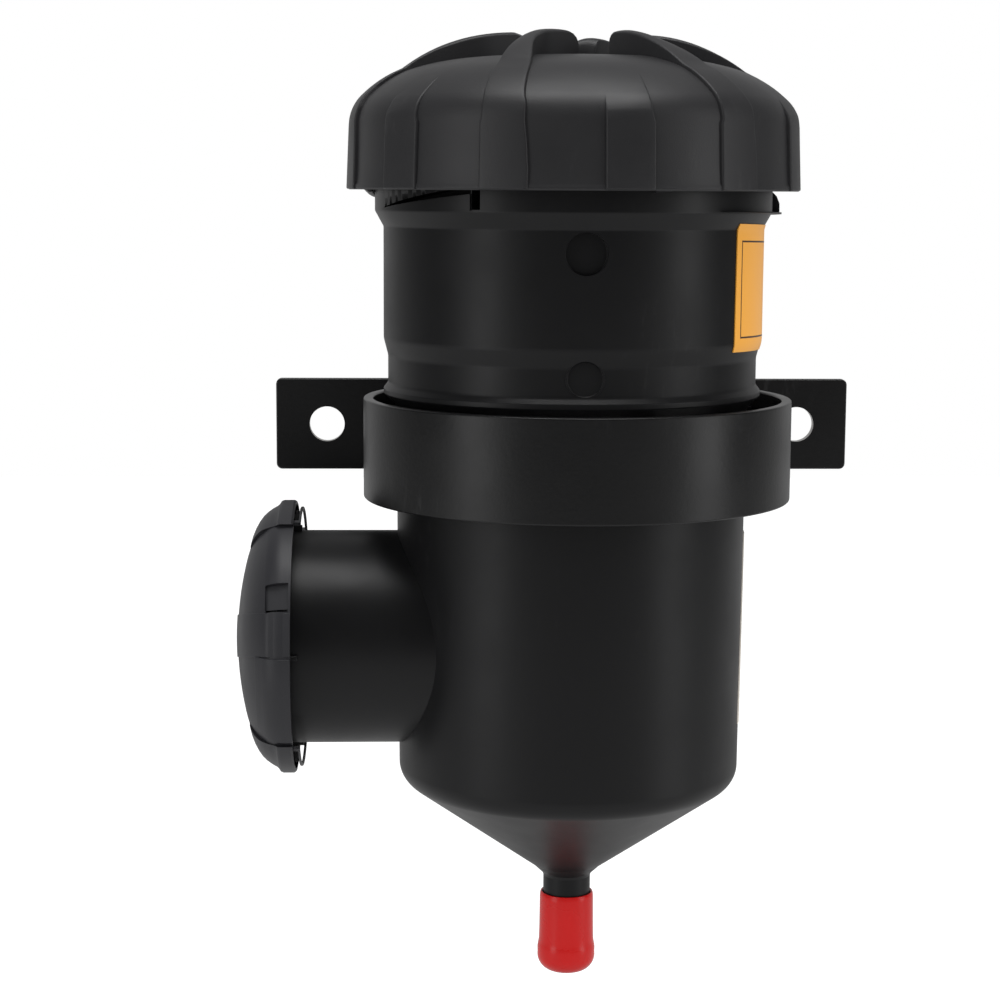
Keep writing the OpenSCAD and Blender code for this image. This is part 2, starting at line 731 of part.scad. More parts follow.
module drain_cap() {
    bore_r = stub_r + fit;
    rim_z = spout_z - cap_rim;
    foot_z = stub_tip - cap_end;
    bulge_at = 0.2 * (rim_z - foot_z);
    color("#c4161c") placed() difference() {
        rotate_extrude() polygon(concat(
            [[0, rim_z], [bore_r + cap_wall, rim_z],
             [cap_bulge_r - 0.45, (rim_z + foot_z) / 2], [cap_bulge_r - 0.35, foot_z + 1.5 * bulge_at]],
            arc([cap_bulge_r - 4, foot_z + 4], 4, 20, -70, 4),
            [[0, foot_z]]));
        translate([0, 0, stub_tip - rest]) cylinder(r = bore_r, h = stub_len);
    }
}

// Outline of the regulator cover from its rim to its crown, moved outwards by d
function cover_curve(d) = concat(
    [[cover_r + d, 0]],
    arc(cover_edge_c, cover_edge_r + d, 0, edge_end, 4),
    arc(cover_face_c, cover_face_r + d, edge_end + 8, 90, 3));

// Outer half of the cover's wall with height added on it, seen in section
module cover_skin(height) difference() {
    polygon(concat(cover_curve(height), [[0, cover_depth + height], [0, 0]]));
    polygon(concat(cover_curve(-cover_wall / 2), [[0, cover_depth - cover_wall / 2], [0, 0]]));
}

module regulator_cover() {
    window_at = 16;
    window_span = 8;
    hook_half = 12;
    hook_r = flange_r - 1.6;
    shelf = 6;
    color("#232325") placed() along_tube() translate([0, 0, cover_rim_x]) {
        difference() {
            union() {
                rotate_extrude() difference() {
                    polygon(concat(cover_curve(0), [[0, cover_depth], [0, 0]]));
                    polygon(concat(cover_curve(-cover_wall), [[0, cover_depth - cover_wall], [0, -eps]]));
                }
                for (a = [0, 180]) rotate([0, 0, a - lobe_half]) rotate_extrude(angle = 2 * lobe_half)
                    difference() {
                        cover_skin(lobe_h);
                        translate([-over, -over]) square([lobe_in + over, 2 * cover_depth]);
                    }
                intersection() {
                    rotate_extrude() cover_skin(lobe_h / 2);
                    translate([-rib_w / 2, -2 * cover_r, 0]) cube([rib_w, 4 * cover_r, 2 * cover_depth]);
                }
                rotate_extrude() translate([flange_r - shelf, bead_face - cover_rim_x])
                    square([shelf - cover_wall / 3, cover_wall]);
                for (a = [45:90:359]) rotate([0, 0, a - hook_half]) rotate_extrude(angle = 2 * hook_half)
                    translate([hook_r, 0]) square([cover_r - hook_r - cover_wall / 2, flange_x - cover_rim_x - rest]);
            }
            for (a = [-90, 90], s = [-1, 1]) rotate([0, 0, a + s * window_at - window_span / 2])
                rotate_extrude(angle = window_span) translate([cover_r - cover_wall - over, over])
                square([cover_wall + 2 * over, cover_band - 0.4]);
        }
    }
}

module regulator_diaphragm() {
    web_in = 4 + fit;
    fold_r = (flange_r + reg_plate_r) / 2 - 2.2;
    fold = 2.2;
    bead_r = flange_r - 1;
    color("#2f2f31") placed() along_tube() rotate_extrude() {
        translate([web_in, diaphragm_x]) square([fold_r - fold + diaphragm_t - web_in, diaphragm_t]);
        difference() {
            translate([fold_r, diaphragm_x]) circle(r = fold, $fn = 48);
            translate([fold_r, diaphragm_x]) circle(r = fold - diaphragm_t, $fn = 48);
            translate([fold_r - 2 * fold, diaphragm_x + diaphragm_t]) square([4 * fold, 2 * fold]);
        }
        translate([fold_r + fold - diaphragm_t, flange_face]) square([bead_r - fold_r - fold + diaphragm_t, bead_t]);
        translate([fold_r + fold - diaphragm_t, diaphragm_x - eps]) square([diaphragm_t, diaphragm_t]);
    }
}

module regulator_plate() {
    rim = 1.2;
    color("#cfcbc0") placed() along_tube() translate([0, 0, diaphragm_x + diaphragm_t]) difference() {
        cylinder(r = reg_plate_r, h = reg_plate_t + rim);
        translate([0, 0, reg_plate_t]) cylinder(r = reg_plate_r - rim, h = rim + over);
    }
}

module regulator_valve_disc() {
    color("#cfcbc0") placed() along_tube() translate([0, 0, valve_face]) {
        cylinder(r = reg_plate_r, h = valve_t);
        cylinder(r = 4, h = valve_t + diaphragm_t);
    }
}

module regulator_spring() {
    wire_r = 0.6;
    foot = outlet_x + spigot_r + spring_seat_t + fit;
    color("#b9bcc0") placed() along_tube() translate([0, 0, foot])
        coil((reg_plate_r + seat_r) / 2, wire_r, valve_face - foot - fit, 4);
}

module regulator_spring_seat() {
    color("#cfcbc0") placed() along_tube() translate([0, 0, outlet_x + spigot_r]) difference() {
        cylinder(r = spring_seat_r, h = spring_seat_t);
        translate([0, 0, -over]) cylinder(r = seat_r + fit, h = spring_seat_t + 2 * over);
    }
}

module at_bypass() placed() translate([0, bypass_off, bypass_seat_z]) children();

module bypass_facing() {
    color("#2a2a2a") at_bypass() translate([0, 0, -fit - facing_t]) difference() {
        cylinder(r = bypass_disc_r, h = facing_t);
        translate([0, 0, -over]) cylinder(r = stem_r + fit, h = facing_t + 2 * over);
    }
}

module bypass_disc() {
    color("#cfcbc0") at_bypass() {
        translate([0, 0, -fit - facing_t - disc_t]) cylinder(r = bypass_disc_r, h = disc_t);
        translate([0, 0, -bypass_cage_h - 1]) cylinder(r = stem_r, h = bypass_cage_h + 1 - fit);
    }
}

module bypass_cage() {
    window = 7;
    floor_t = 1.6;
    bore_r = bypass_cage_r - cage_wall;
    color("#44474c") at_bypass() translate([0, 0, -bypass_cage_h]) difference() {
        cylinder(r = bypass_cage_r, h = bypass_cage_h);
        translate([0, 0, floor_t]) cylinder(r = bore_r, h = bypass_cage_h);
        translate([0, 0, -over]) cylinder(r = stem_r + fit, h = floor_t + 2 * over);
        for (a = [45, 135]) rotate([0, 0, a])
            translate([-bypass_cage_r - over, -window / 2, floor_t + 2])
            cube([2 * bypass_cage_r + 2 * over, window, bypass_cage_h - floor_t - 5]);
        for (a = [0:60:359]) rotate([0, 0, a]) translate([bore_r / 2 + stem_r, 0, -over])
            cylinder(r = 1.8, h = floor_t + 2 * over);
    }
}

module bypass_spring() {
    wire_r = 0.5;
    floor_t = 1.6;
    height = bypass_cage_h - floor_t - facing_t - disc_t - 3 * fit;
    color("#b9bcc0") at_bypass() translate([0, 0, -bypass_cage_h + floor_t + fit]) coil(5, wire_r, height, 5);
}

// Curved sheet on the wall: its inner outline lies a fit outside the points
module wrap(points, start, span) {
    n = len(points);
    inner = [for (p = points) p + [fit, 0]];
    outer = [for (i = [n - 1:-1:0]) points[i] + [fit + label_t, 0]];
    sector(start, span) polygon(concat(inner, outer));
}

module upper_label() {
    cone_part = (collar_top + collar_cone - label_top) / (collar_cone * 3 / 4);
    taper_part = (label_foot - waist_top) / waist_taper;
    color("#f5a33c") placed() wrap([
        [body_r + cone_part * (collar_r - body_r), -label_top],
        [body_r, -collar_top - collar_cone],
        [body_r, -waist_top],
        [body_r - taper_part * (body_r - waist_r), -label_foot]], label_start, label_span);
}

module lower_label() {
    slope = (sump_r - sump_foot_r) / (corner_z - shelf_z);
    color("#efe3c2") placed() wrap([
        [sump_r - slope * (low_label_top - shelf_z), -low_label_top],
        [sump_r - slope * (low_label_foot - shelf_z), -low_label_foot]], low_label_start, low_label_span);
}

housing();
lid();
lid_seal();
element_top_plate();
element_media();
element_core();
element_bottom_plate();
element_seal();
mounting_bracket();
drain_cap();
regulator_cover();
regulator_diaphragm();
regulator_plate();
regulator_valve_disc();
regulator_spring();
regulator_spring_seat();
bypass_disc();
bypass_facing();
bypass_spring();
bypass_cage();
upper_label();
lower_label();
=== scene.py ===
"""Looks of an oil catch can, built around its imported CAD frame.

Sizes are in millimetres. Heights are counted from the lower edge of the lid and radii from
the axis of the can, as in the part's source. Azimuth 0 is the front, and it grows to the right.
"""

import logging
import math
from collections.abc import Callable, Iterable, Sequence
from dataclasses import dataclass, field
from enum import Enum

import bmesh
import bpy
from bpy.types import Material, Node, NodeSocket, NodeTree, Object
from mathutils import Matrix, Vector


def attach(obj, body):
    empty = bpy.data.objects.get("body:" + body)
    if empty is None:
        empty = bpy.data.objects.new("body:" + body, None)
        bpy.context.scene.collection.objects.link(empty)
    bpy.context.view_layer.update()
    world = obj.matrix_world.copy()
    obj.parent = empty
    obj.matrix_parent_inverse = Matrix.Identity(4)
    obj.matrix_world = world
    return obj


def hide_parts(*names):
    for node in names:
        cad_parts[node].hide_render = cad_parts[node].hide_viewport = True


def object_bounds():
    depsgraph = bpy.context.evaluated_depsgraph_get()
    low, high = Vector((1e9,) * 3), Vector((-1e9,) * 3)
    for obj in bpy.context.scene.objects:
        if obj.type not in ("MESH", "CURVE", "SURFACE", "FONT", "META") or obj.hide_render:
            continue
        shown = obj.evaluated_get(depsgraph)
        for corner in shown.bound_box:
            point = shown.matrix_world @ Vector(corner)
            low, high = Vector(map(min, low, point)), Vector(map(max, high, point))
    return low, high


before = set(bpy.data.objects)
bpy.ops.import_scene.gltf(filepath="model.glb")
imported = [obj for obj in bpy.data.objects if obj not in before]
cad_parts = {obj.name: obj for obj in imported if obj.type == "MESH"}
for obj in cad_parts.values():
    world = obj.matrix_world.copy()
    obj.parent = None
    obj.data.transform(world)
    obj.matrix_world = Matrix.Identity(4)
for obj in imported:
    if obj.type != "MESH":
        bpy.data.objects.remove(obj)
CAD_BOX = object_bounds()
log = logging.getLogger("catch_can")

MM = 0.001
AXIS_X = -1.5
AXIS_Y = -58.8
EDGE_Z = 66.5
WELD = 1e-4
SOFT_EDGE_DEG = 32.0
COAT_ROUGHNESS = 0.12
# How far the lid's screw climbs in one turn
LEAD = 32.0

Point = tuple[float, float]
Colour = tuple[float, float, float]
Surface = Callable[[float, float, bool], Vector]


class Body(Enum):
    """The bodies of the frame that the visible pieces ride on."""

    CANISTER = "canister"
    LID = "lid_cap"
    DRAIN_PLUG = "drain_plug"


def turned(degrees: float) -> Matrix:
    """Turn about the upright axis."""
    return Matrix.Rotation(math.radians(degrees), 4, "Z")


def around(azimuth: float, out: float, up: float) -> Vector:
    """Point at an azimuth of the can, given in degrees."""
    angle = math.radians(azimuth)
    return Vector((out * math.sin(angle), -out * math.cos(angle), up))


def facing_front(up: float) -> Matrix:
    """Place of a shape that is spun about an axis towards the front, at that height."""
    return Matrix.Translation((0.0, 0.0, up)) @ Matrix.Rotation(math.radians(90.0), 4, "X")


# Where a section that is spun about its own upright axis ends up
CAN = Matrix.Identity(4)
TUBE_DEPTH = 117.0
TUBE = Matrix.Translation((0.0, 0.0, -TUBE_DEPTH)) @ Matrix.Rotation(math.radians(-90.0), 4, "Y")
BACKWARD = Matrix.Rotation(math.radians(-90.0), 4, "X")
# The regulator cover was snapped on with its rib a little above the front
COVER = TUBE @ turned(11.6)


# ---- sections -----------------------------------------------------------------------------


@dataclass(frozen=True)
class Corner:
    """A corner of a section, and the radius that rounds it."""

    out: float
    up: float
    fillet: float = 0.0


def arc(centre: Point, radius: float, start: float, end: float, steps: int) -> list[Point]:
    """Points along an arc.

    Args:
        centre: Centre of the arc.
        radius: Its radius.
        start: Angle of the first point in degrees, from the outward direction.
        end: Angle of the last point.
        steps: Number of chords.

    Returns:
        The points, both ends included.
    """
    angles = [math.radians(start + (end - start) * i / steps) for i in range(steps + 1)]
    return [(centre[0] + radius * math.cos(a), centre[1] + radius * math.sin(a)) for a in angles]


def rounded(corners: Sequence[Corner], closed: bool, steps: int = 4) -> list[Point]:
    """Rounds the corners of a section.

    Args:
        corners: The corners in order.
        closed: True if the last corner joins the first.
        steps: Chords in each fillet.

    Returns:
        The rounded outline.
    """
    outline: list[Point] = []
    count = len(corners)
    for i, corner in enumerate(corners):
        here = Vector((corner.out, corner.up))
        at_end = not closed and i in (0, count - 1)
        if corner.fillet <= 0 or at_end:
            outline.append((corner.out, corner.up))
            continue
        before, after = corners[i - 1], corners[(i + 1) % count]
        to_before = Vector((before.out, before.up)) - here
        to_after = Vector((after.out, after.up)) - here
        half = to_before.angle(to_after) / 2
        reach = min(corner.fillet / math.tan(half), 0.49 * to_before.length, 0.49 * to_after.length)
        radius = reach * math.tan(half)
        middle = (to_before.normalized() + to_after.normalized()).normalized()
        centre = here + middle * (radius / math.sin(half))
        first = here + to_before.normalized() * reach - centre
        last = here + to_after.normalized() * reach - centre
        turn = first.angle_signed(last)
        for k in range(steps + 1):
            spoke = first.copy()
            spoke.rotate(Matrix.Rotation(-turn * k / steps, 2))
            outline.append((centre.x + spoke.x, centre.y + spoke.y))
    return outline


def between(points: Sequence[Point], place: float) -> float:
    """Value at a place on a line through points, whose first numbers fall or rise."""
    rising = points if points[0][0] < points[-1][0] else points[::-1]
    if place <= rising[0][0]:
        return rising[0][1]
    for (x0, y0), (x1, y1) in zip(rising, rising[1:]):
        if place <= x1:
            return y0 + (y1 - y0) * (place - x0) / (x1 - x0)
    return rising[-1][1]


def ring_section(inner: float, outer: float, foot: float, top: float, fillet: float) -> list[Point]:
    """Section of a ring with rounded edges.

    Args:
        inner: Inner radius.
        outer: Outer radius.
        foot: Height of its foot.
        top: Height of its top.
        fillet: Radius of its four edges.

    Returns:
        The closed outline.
    """
    corners = [Corner(inner, foot, fillet), Corner(outer, foot, fillet),
               Corner(outer, top, fillet), Corner(inner, top, fillet)]
    return rounded(corners, closed=True, steps=3)


def along(path: Sequence[Point], u: float) -> Point:
    """Point of a path at a share u, from 0 to 1, of its number of steps."""
    i = min(int(u * (len(path) - 1)), len(path) - 2)
    share = u * (len(path) - 1) - i
    (out, up), (next_out, next_up) = path[i], path[i + 1]
    return out * (1 - share) + next_out * share, up * (1 - share) + next_up * share


class Dome:
    """The section of a dome, in three arcs that run into each other."""

    GAPS = (3.0, 2.0)

    def __init__(self, foot: Point, arcs: Sequence[tuple[float, float, int]]) -> None:
        """Works out the centres of the arcs.

        Args:
            foot: Distance from the axis and height at which the first arc starts.
            arcs: Radius, last angle in degrees and number of chords of each arc.
        """
        (radius, angle, steps), *others = arcs
        centre = Vector((foot[0] - radius, foot[1]))
        self.arcs = [(centre, radius, 0.0, angle, steps)]
        for (wider, end, steps), gap in zip(others, self.GAPS):
            turn = math.radians(angle)
            centre = centre + (radius - wider) * Vector((math.cos(turn), math.sin(turn)))
            self.arcs.append((centre, wider, angle + gap, end, steps))
            radius, angle = wider, end

    def outline(self, off: float, last: float) -> list[Point]:
        """Points of the dome moved outwards by off, from its foot to the angle last."""
        points: list[Point] = []
        for centre, radius, start, end, steps in self.arcs:
            if start < last:
                points += arc(tuple(centre), radius + off, start, min(end, last), steps)
        return points


# ---- mesh building ------------------------------------------------------------------------


class Moulding:
    """A piece while it is being shaped."""

    def __init__(self, name: str) -> None:
        """Starts an empty piece with that name."""
        self.name = name
        self.bm = bmesh.new()

    def take(self, part: bmesh.types.BMesh, where: Matrix = CAN) -> None:
        """Adds a finished part to the piece.

        Args:
            part: The part, which is used up.
            where: Its place.
        """
        part.transform(where)
        bmesh.ops.recalc_face_normals(part, faces=part.faces[:])
        holder = bpy.data.meshes.new("part")
        part.to_mesh(holder)
        part.free()
        self.bm.from_mesh(holder)
        bpy.data.meshes.remove(holder)

    def ring(self, section: Sequence[Point], where: Matrix = CAN, closed: bool = True,
             steps: int = 160) -> None:
        """Spins a section a full turn.

        Args:
            section: The outline, as distance from the axis and height.
            where: Place of the axis.
            closed: True for a closed outline, False for one that ends on the axis twice.
            steps: Number of facets.
        """
        part = bmesh.new()
        verts = [part.verts.new((out, 0.0, up)) for out, up in section]
        edges = [part.edges.new(pair) for pair in zip(verts, verts[1:])]
        if closed:
            edges.append(part.edges.new((verts[-1], verts[0])))
        bmesh.ops.spin(part, geom=verts + edges, cent=(0, 0, 0), axis=(0, 0, 1),
                       angle=2 * math.pi, steps=steps, use_merge=True)
        bmesh.ops.remove_doubles(part, verts=part.verts[:], dist=WELD)
        self.take(part, where)

    def sector(self, section: Sequence[Point], start: float, span: float, where: Matrix = CAN,
               rise: float = 0.0, steps: int = 12, soften: float = 0.0) -> None:
        """Sweeps a closed section through part of a turn.

        Args:
            section: The closed outline.
            start: Azimuth of its first end in degrees.
            span: Angle that it covers.
            where: Place of the axis.
            rise: Height that it climbs on the way.
            steps: Number of facets.
            soften: Radius of its sharp edges.
        """
        part = bmesh.new()
        face = part.faces.new([part.verts.new((out, 0.0, up)) for out, up in section])
        geometry = list(face.verts) + list(face.edges) + [face]
        bmesh.ops.spin(part, geom=geometry, cent=(0, 0, 0), axis=(0, 0, 1),
                       dvec=(0, 0, rise / steps), angle=math.radians(span), steps=steps)
        bmesh.ops.remove_doubles(part, verts=part.verts[:], dist=WELD)
        bmesh.ops.rotate(part, cent=(0, 0, 0), verts=part.verts[:],
                         matrix=Matrix.Rotation(math.radians(start - 90.0), 3, "Z"))
        bmesh.ops.recalc_face_normals(part, faces=part.faces[:])
        if soften:
            soften_edges(part, soften)
        self.take(part, where)

    def block(self, low: Sequence[float], high: Sequence[float], where: Matrix = CAN,
              soften: float = 0.0) -> None:
        """Adds a block between two corners, with its edges softened.

        Args:
            low: Its lowest corner.
            high: Its highest corner.
            where: Its place.
            soften: Radius of its edges.
        """
        part = bmesh.new()
        bmesh.ops.create_cube(part, size=1.0)
        size = [b - a for a, b in zip(low, high)]
        middle = [(a + b) / 2 for a, b in zip(low, high)]
        bmesh.ops.scale(part, vec=size, verts=part.verts[:])
        bmesh.ops.translate(part, vec=middle, verts=part.verts[:])
        if soften:
            soften_edges(part, soften)
        self.take(part, where)

    def drape(self, surface: Surface, along: int, across: int,
              where: Matrix = CAN, soften: float = 0.0) -> None:
        """Adds a solid strip whose upper and lower faces follow a surface.

        Args:
            surface: Gives a point from the place along and across, both 0 to 1, and whether
                it lies on the upper face.
            along: Number of facets along the strip.
            across: Number of facets across it.
            where: Its place.
            soften: Radius of the edges of its upper face.
        """
        part = bmesh.new()
        bmesh.ops.create_grid(part, x_segments=along, y_segments=across, size=0.5)
        made = bmesh.ops.extrude_face_region(part, geom=part.faces[:])
        upper = {v for v in made["geom"] if isinstance(v, bmesh.types.BMVert)}
        rim = [e for e in made["geom"] if isinstance(e, bmesh.types.BMEdge)
               and any(v not in upper for f in e.link_faces for v in f.verts)]
        for vert in part.verts:
            vert.co = surface(vert.co.x + 0.5, vert.co.y + 0.5, vert in upper)
        bmesh.ops.recalc_face_normals(part, faces=part.faces[:])
        if soften:
            round_edges(part, rim, soften)
        self.take(part, where)

    def cut(self, tool: "Moulding") -> None:
        """Takes the shape of another moulding away from this one.

        Args:
            tool: The cutting shape, which is used up.
        """
        target, cutter = self.raw_object(), tool.raw_object()
        modifier = target.modifiers.new("cut", "BOOLEAN")
        modifier.operation, modifier.solver, modifier.object = "DIFFERENCE", "EXACT", cutter
        modifier.use_self = True
        result = target.evaluated_get(bpy.context.evaluated_depsgraph_get()).to_mesh()
        self.bm = bmesh.new()
        self.bm.from_mesh(result)
        for thing in (target, cutter):
            mesh = thing.data
            bpy.data.objects.remove(thing)
            bpy.data.meshes.remove(mesh)

    def raw_object(self) -> Object:
        """Puts the piece as it is in an object of its own, and returns that."""
        mesh = bpy.data.meshes.new(self.name)
        self.bm.to_mesh(mesh)
        self.bm.free()
        return add_object(self.name, mesh)

    def finish(self, materials: Sequence[Material], body: Body,
               replaces: Sequence[str] = ()) -> Object:
        """Turns the shaped piece into an object of the scene.

        Args:
            materials: Its materials.
            body: The body that it rides on.
            replaces: The CAD nodes that it stands for.

        Returns:
            The object.
        """
        self.bm.transform(Matrix.Scale(MM, 4) @ Matrix.Translation((AXIS_X, AXIS_Y, EDGE_Z)))
        piece = self.raw_object()
        for material in materials:
            piece.data.materials.append(material)
        piece.data.shade_smooth()
        piece.data.set_sharp_from_angle(angle=math.radians(SOFT_EDGE_DEG))
        flat = piece.modifiers.new("flat_faces", "WEIGHTED_NORMAL")
        flat.keep_sharp = True
        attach(piece, body.value)
        if replaces:
            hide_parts(*replaces)
        log.info("%s: %d faces on %s", piece.name, len(piece.data.polygons), body.value)
        return piece


def add_object(name: str, data: bpy.types.ID) -> Object:
    """Adds an object with that data to the scene, and returns it."""
    thing = bpy.data.objects.new(name, data)
    bpy.context.scene.collection.objects.link(thing)
    return thing


def round_edges(part: bmesh.types.BMesh, edges: list[bmesh.types.BMEdge], radius: float,
                segments: int = 3) -> None:
    """Rounds edges of a part.

    Args:
        part: The part.
        edges: The edges.
        radius: Radius of the rounding.
        segments: Number of facets across it.
    """
    bmesh.ops.bevel(part, geom=edges, offset=radius, offset_type="OFFSET", affect="EDGES",
                    segments=segments, profile=0.5, material=-1, clamp_overlap=True)


def soften_edges(part: bmesh.types.BMesh, radius: float) -> None:
    """Rounds the sharp edges of a part with that radius."""
    round_edges(part, [e for e in part.edges if len(e.link_faces) == 2
                       and e.calc_face_angle(0.0) > math.radians(SOFT_EDGE_DEG)], radius)


# ---- materials ----------------------------------------------------------------------------


class Sockets:
    """Adds nodes to a tree and joins them."""

    def __init__(self, tree: NodeTree) -> None:
        """Works on that tree."""
        self.tree = tree

    def add(self, kind: str, inputs: dict | None = None, **options: object) -> Node:
        """Adds a node.

        Args:
            kind: The node's type.
            inputs: Value or output socket for each input, by name or number.
            options: Properties of the node.

        Returns:
            The node.
        """
        node = self.tree.nodes.new(kind)
        for key, value in options.items():
            setattr(node, key, value)
        for key, value in (inputs or {}).items():
            socket = node.inputs[key]
            if isinstance(value, NodeSocket):
                self.tree.links.new(value, socket)
            else:
                socket.default_value = value
        return node

    def math(self, operation: str, *values: object) -> NodeSocket:
        """Adds a math node for the values, and returns its output."""
        return self.add("ShaderNodeMath", dict(enumerate(values)), operation=operation).outputs[0]

    def noise(self, place: NodeSocket, scale: object, detail: float,
              roughness: float = 0.5) -> NodeSocket:
        """Adds a noise texture, and returns its value."""
        return self.add("ShaderNodeTexNoise", {"Vector": place, "Scale": scale, "Detail": detail,
                                               "Roughness": roughness}).outputs[0]

    def ramp(self, value: NodeSocket, source: Sequence[float], target: Sequence[float] = (0.0, 1.0),
             shape: str = "LINEAR") -> NodeSocket:
        """Maps a value from one range to another.

        Args:
            value: The value.
            source: Lower and upper end of its range.
            target: What those ends become.
            shape: How it runs between them.

        Returns:
            The mapped value.
        """
        return self.add("ShaderNodeMapRange", {
            "Value": value, "From Min": source[0], "From Max": source[1],
            "To Min": target[0], "To Max": target[1]}, interpolation_type=shape).outputs[0]

    def blend(self, mask: NodeSocket, first: object, second: Colour) -> NodeSocket:
        """Blends two colours by a mask.

        Args:
            mask: How much of the second colour shows.
            first: The first colour, or a socket that gives it.
            second: The second colour.

        Returns:
            The blended colour.
        """
        mix = self.add("ShaderNodeMix", {0: mask}, data_type="RGBA")
        if isinstance(first, NodeSocket):
            self.tree.links.new(first, mix.inputs["A"])
        else:
            mix.inputs["A"].default_value = (*first, 1.0)
        mix.inputs["B"].default_value = (*second, 1.0)
        return mix.outputs["Result"]


def set_inputs(node: Node, values: dict[str, object]) -> None:
    """Gives inputs of a node plain values, by name."""
    for name, value in values.items():
        node.inputs[name].default_value = value


def new_group(name: str, inputs: dict[str, float], outputs: Iterable[str]) -> NodeTree:
    """Makes an empty shader node group.

    Args:
        name: Its name.
        inputs: Its number inputs and their defaults.
        outputs: Its number outputs.

    Returns:
        The group.
    """
    group = bpy.data.node_groups.new(name, "ShaderNodeTree")
    for key, value in inputs.items():
        socket = group.interface.new_socket(name=key, in_out="INPUT", socket_type="NodeSocketFloat")
        socket.default_value = value
    for key in outputs:
        group.interface.new_socket(name=key, in_out="OUTPUT", socket_type="NodeSocketFloat")
    return group


def surface_group() -> NodeTree:
    """Grain, mottle and scuffs of a used surface, as numbers from 0 to 1.

    Returns:
        The group.
    """
    group = new_group("surface", {"Grain Scale": 2500.0, "Mottle Scale": 35.0, "Scuffs": 0.3},
                      ("Grain", "Mottle", "Scuff"))
    nodes = Sockets(group)
    given = nodes.add("NodeGroupInput").outputs
    result = nodes.add("NodeGroupOutput")
    place = nodes.add("ShaderNodeTexCoord").outputs["Object"]
    stretched = nodes.add("ShaderNodeMapping", {"Vector": place, "Scale": (1.0, 1.0, 0.25)}).outputs[0]
    grain = nodes.noise(place, given["Grain Scale"], 3.0, 0.6)
    mottle = nodes.noise(place, given["Mottle Scale"], 5.0, 0.55)
    patches = nodes.ramp(nodes.noise(place, 26.0, 2.0), (0.55, 0.72))
    fine = nodes.ramp(nodes.noise(stretched, 420.0, 4.0, 0.7), (0.56, 0.70))
    scuff = nodes.math("MULTIPLY", nodes.math("MULTIPLY", patches, fine), given["Scuffs"])
    for name, value in (("Grain", grain), ("Mottle", mottle), ("Scuff", scuff)):
        group.links.new(value, result.inputs[name])
    return group


def border_group() -> NodeTree:
    """Thin rectangular line round the inside of a label on the can's wall, as a mask.

    Returns:
        The group, whose inputs are in metres and radians.
    """
    inputs = {"Azimuth": 1.4, "Half Angle": 0.5, "Height": 0.04, "Half Height": 0.012,
              "Radius": 0.049, "Line": 0.0004, "Lean": 0.0}
    group = new_group("label_border", inputs, ("Line",))
    nodes = Sockets(group)
    given = nodes.add("NodeGroupInput").outputs
    result = nodes.add("NodeGroupOutput")
    place = nodes.add("ShaderNodeTexCoord").outputs["Object"]
    split = nodes.add("ShaderNodeSeparateXYZ", {0: place}).outputs
    beyond = nodes.math("SUBTRACT", split["X"], AXIS_X * MM)
    towards = nodes.math("SUBTRACT", AXIS_Y * MM, split["Y"])
    azimuth = nodes.math("ARCTAN2", beyond, towards)
    off_angle = nodes.math("ABSOLUTE", nodes.math("SUBTRACT", azimuth, given["Azimuth"]))
    beside = nodes.math("MULTIPLY", nodes.math("SUBTRACT", off_angle, given["Half Angle"]),
                        given["Radius"])
    lean = nodes.math("MULTIPLY", nodes.math("SUBTRACT", azimuth, given["Azimuth"]), given["Lean"])
    off_height = nodes.math("ABSOLUTE", nodes.math("ADD", lean,
                                                   nodes.math("SUBTRACT", split["Z"], given["Height"])))
    above = nodes.math("SUBTRACT", off_height, given["Half Height"])
    outside = nodes.math("MAXIMUM", beside, above)
    line = nodes.math("LESS_THAN", nodes.math("ABSOLUTE", outside), given["Line"])
    group.links.new(line, result.inputs["Line"])
    return group


@dataclass(frozen=True)
class Finish:
    """A finish: its colour and gloss, and the grain, mottle and scuffs that vary them."""

    name: str
    colour: Colour
    roughness: float
    specular: float = 0.5
    coat: float = 0.0
    metallic: float = 0.0
    grain_scale: float = 2500.0
    grain_height: float = 0.02
    mottle_scale: float = 35.0
    mottle: float = 0.12
    roughness_range: float = 0.06
    scuffs: float = 0.25
    scuff_colour: Colour = (0.16, 0.16, 0.165)

    def material(self, group: NodeTree) -> Material:
        """Builds the material.

        Args:
            group: The shared surface group.

        Returns:
            The material.
        """
        material = bpy.data.materials.new(self.name)
        material.use_nodes = True
        nodes = Sockets(material.node_tree)
        shader = material.node_tree.nodes["Principled BSDF"]
        surface = nodes.add("ShaderNodeGroup", node_tree=group)
        set_inputs(surface, {"Grain Scale": self.grain_scale, "Mottle Scale": self.mottle_scale,
                             "Scuffs": self.scuffs})
        dark = [c * (1 - self.mottle) for c in self.colour]
        light = [c * (1 + self.mottle) for c in self.colour]
        base = nodes.blend(surface.outputs["Mottle"], dark, light)
        worn = nodes.blend(surface.outputs["Scuff"], base, self.scuff_colour)
        gloss = nodes.ramp(surface.outputs["Mottle"], (0.3, 0.7),
                           (self.roughness - self.roughness_range,
                            self.roughness + self.roughness_range))
        bump = nodes.add("ShaderNodeBump", {"Height": surface.outputs["Grain"],
                                            "Strength": 1.0, "Distance": self.grain_height * MM})
        for name, value in (("Base Color", self.decorate(nodes, worn)), ("Roughness", gloss),
                            ("Normal", bump.outputs[0])):
            material.node_tree.links.new(value, shader.inputs[name])
        set_inputs(shader, {"Specular IOR Level": self.specular, "Coat Weight": self.coat,
                            "Coat Roughness": COAT_ROUGHNESS, "Metallic": self.metallic})
        return material

    def decorate(self, nodes: Sockets, colour: NodeSocket) -> NodeSocket:
        """Leaves the colour as it is."""
        return colour


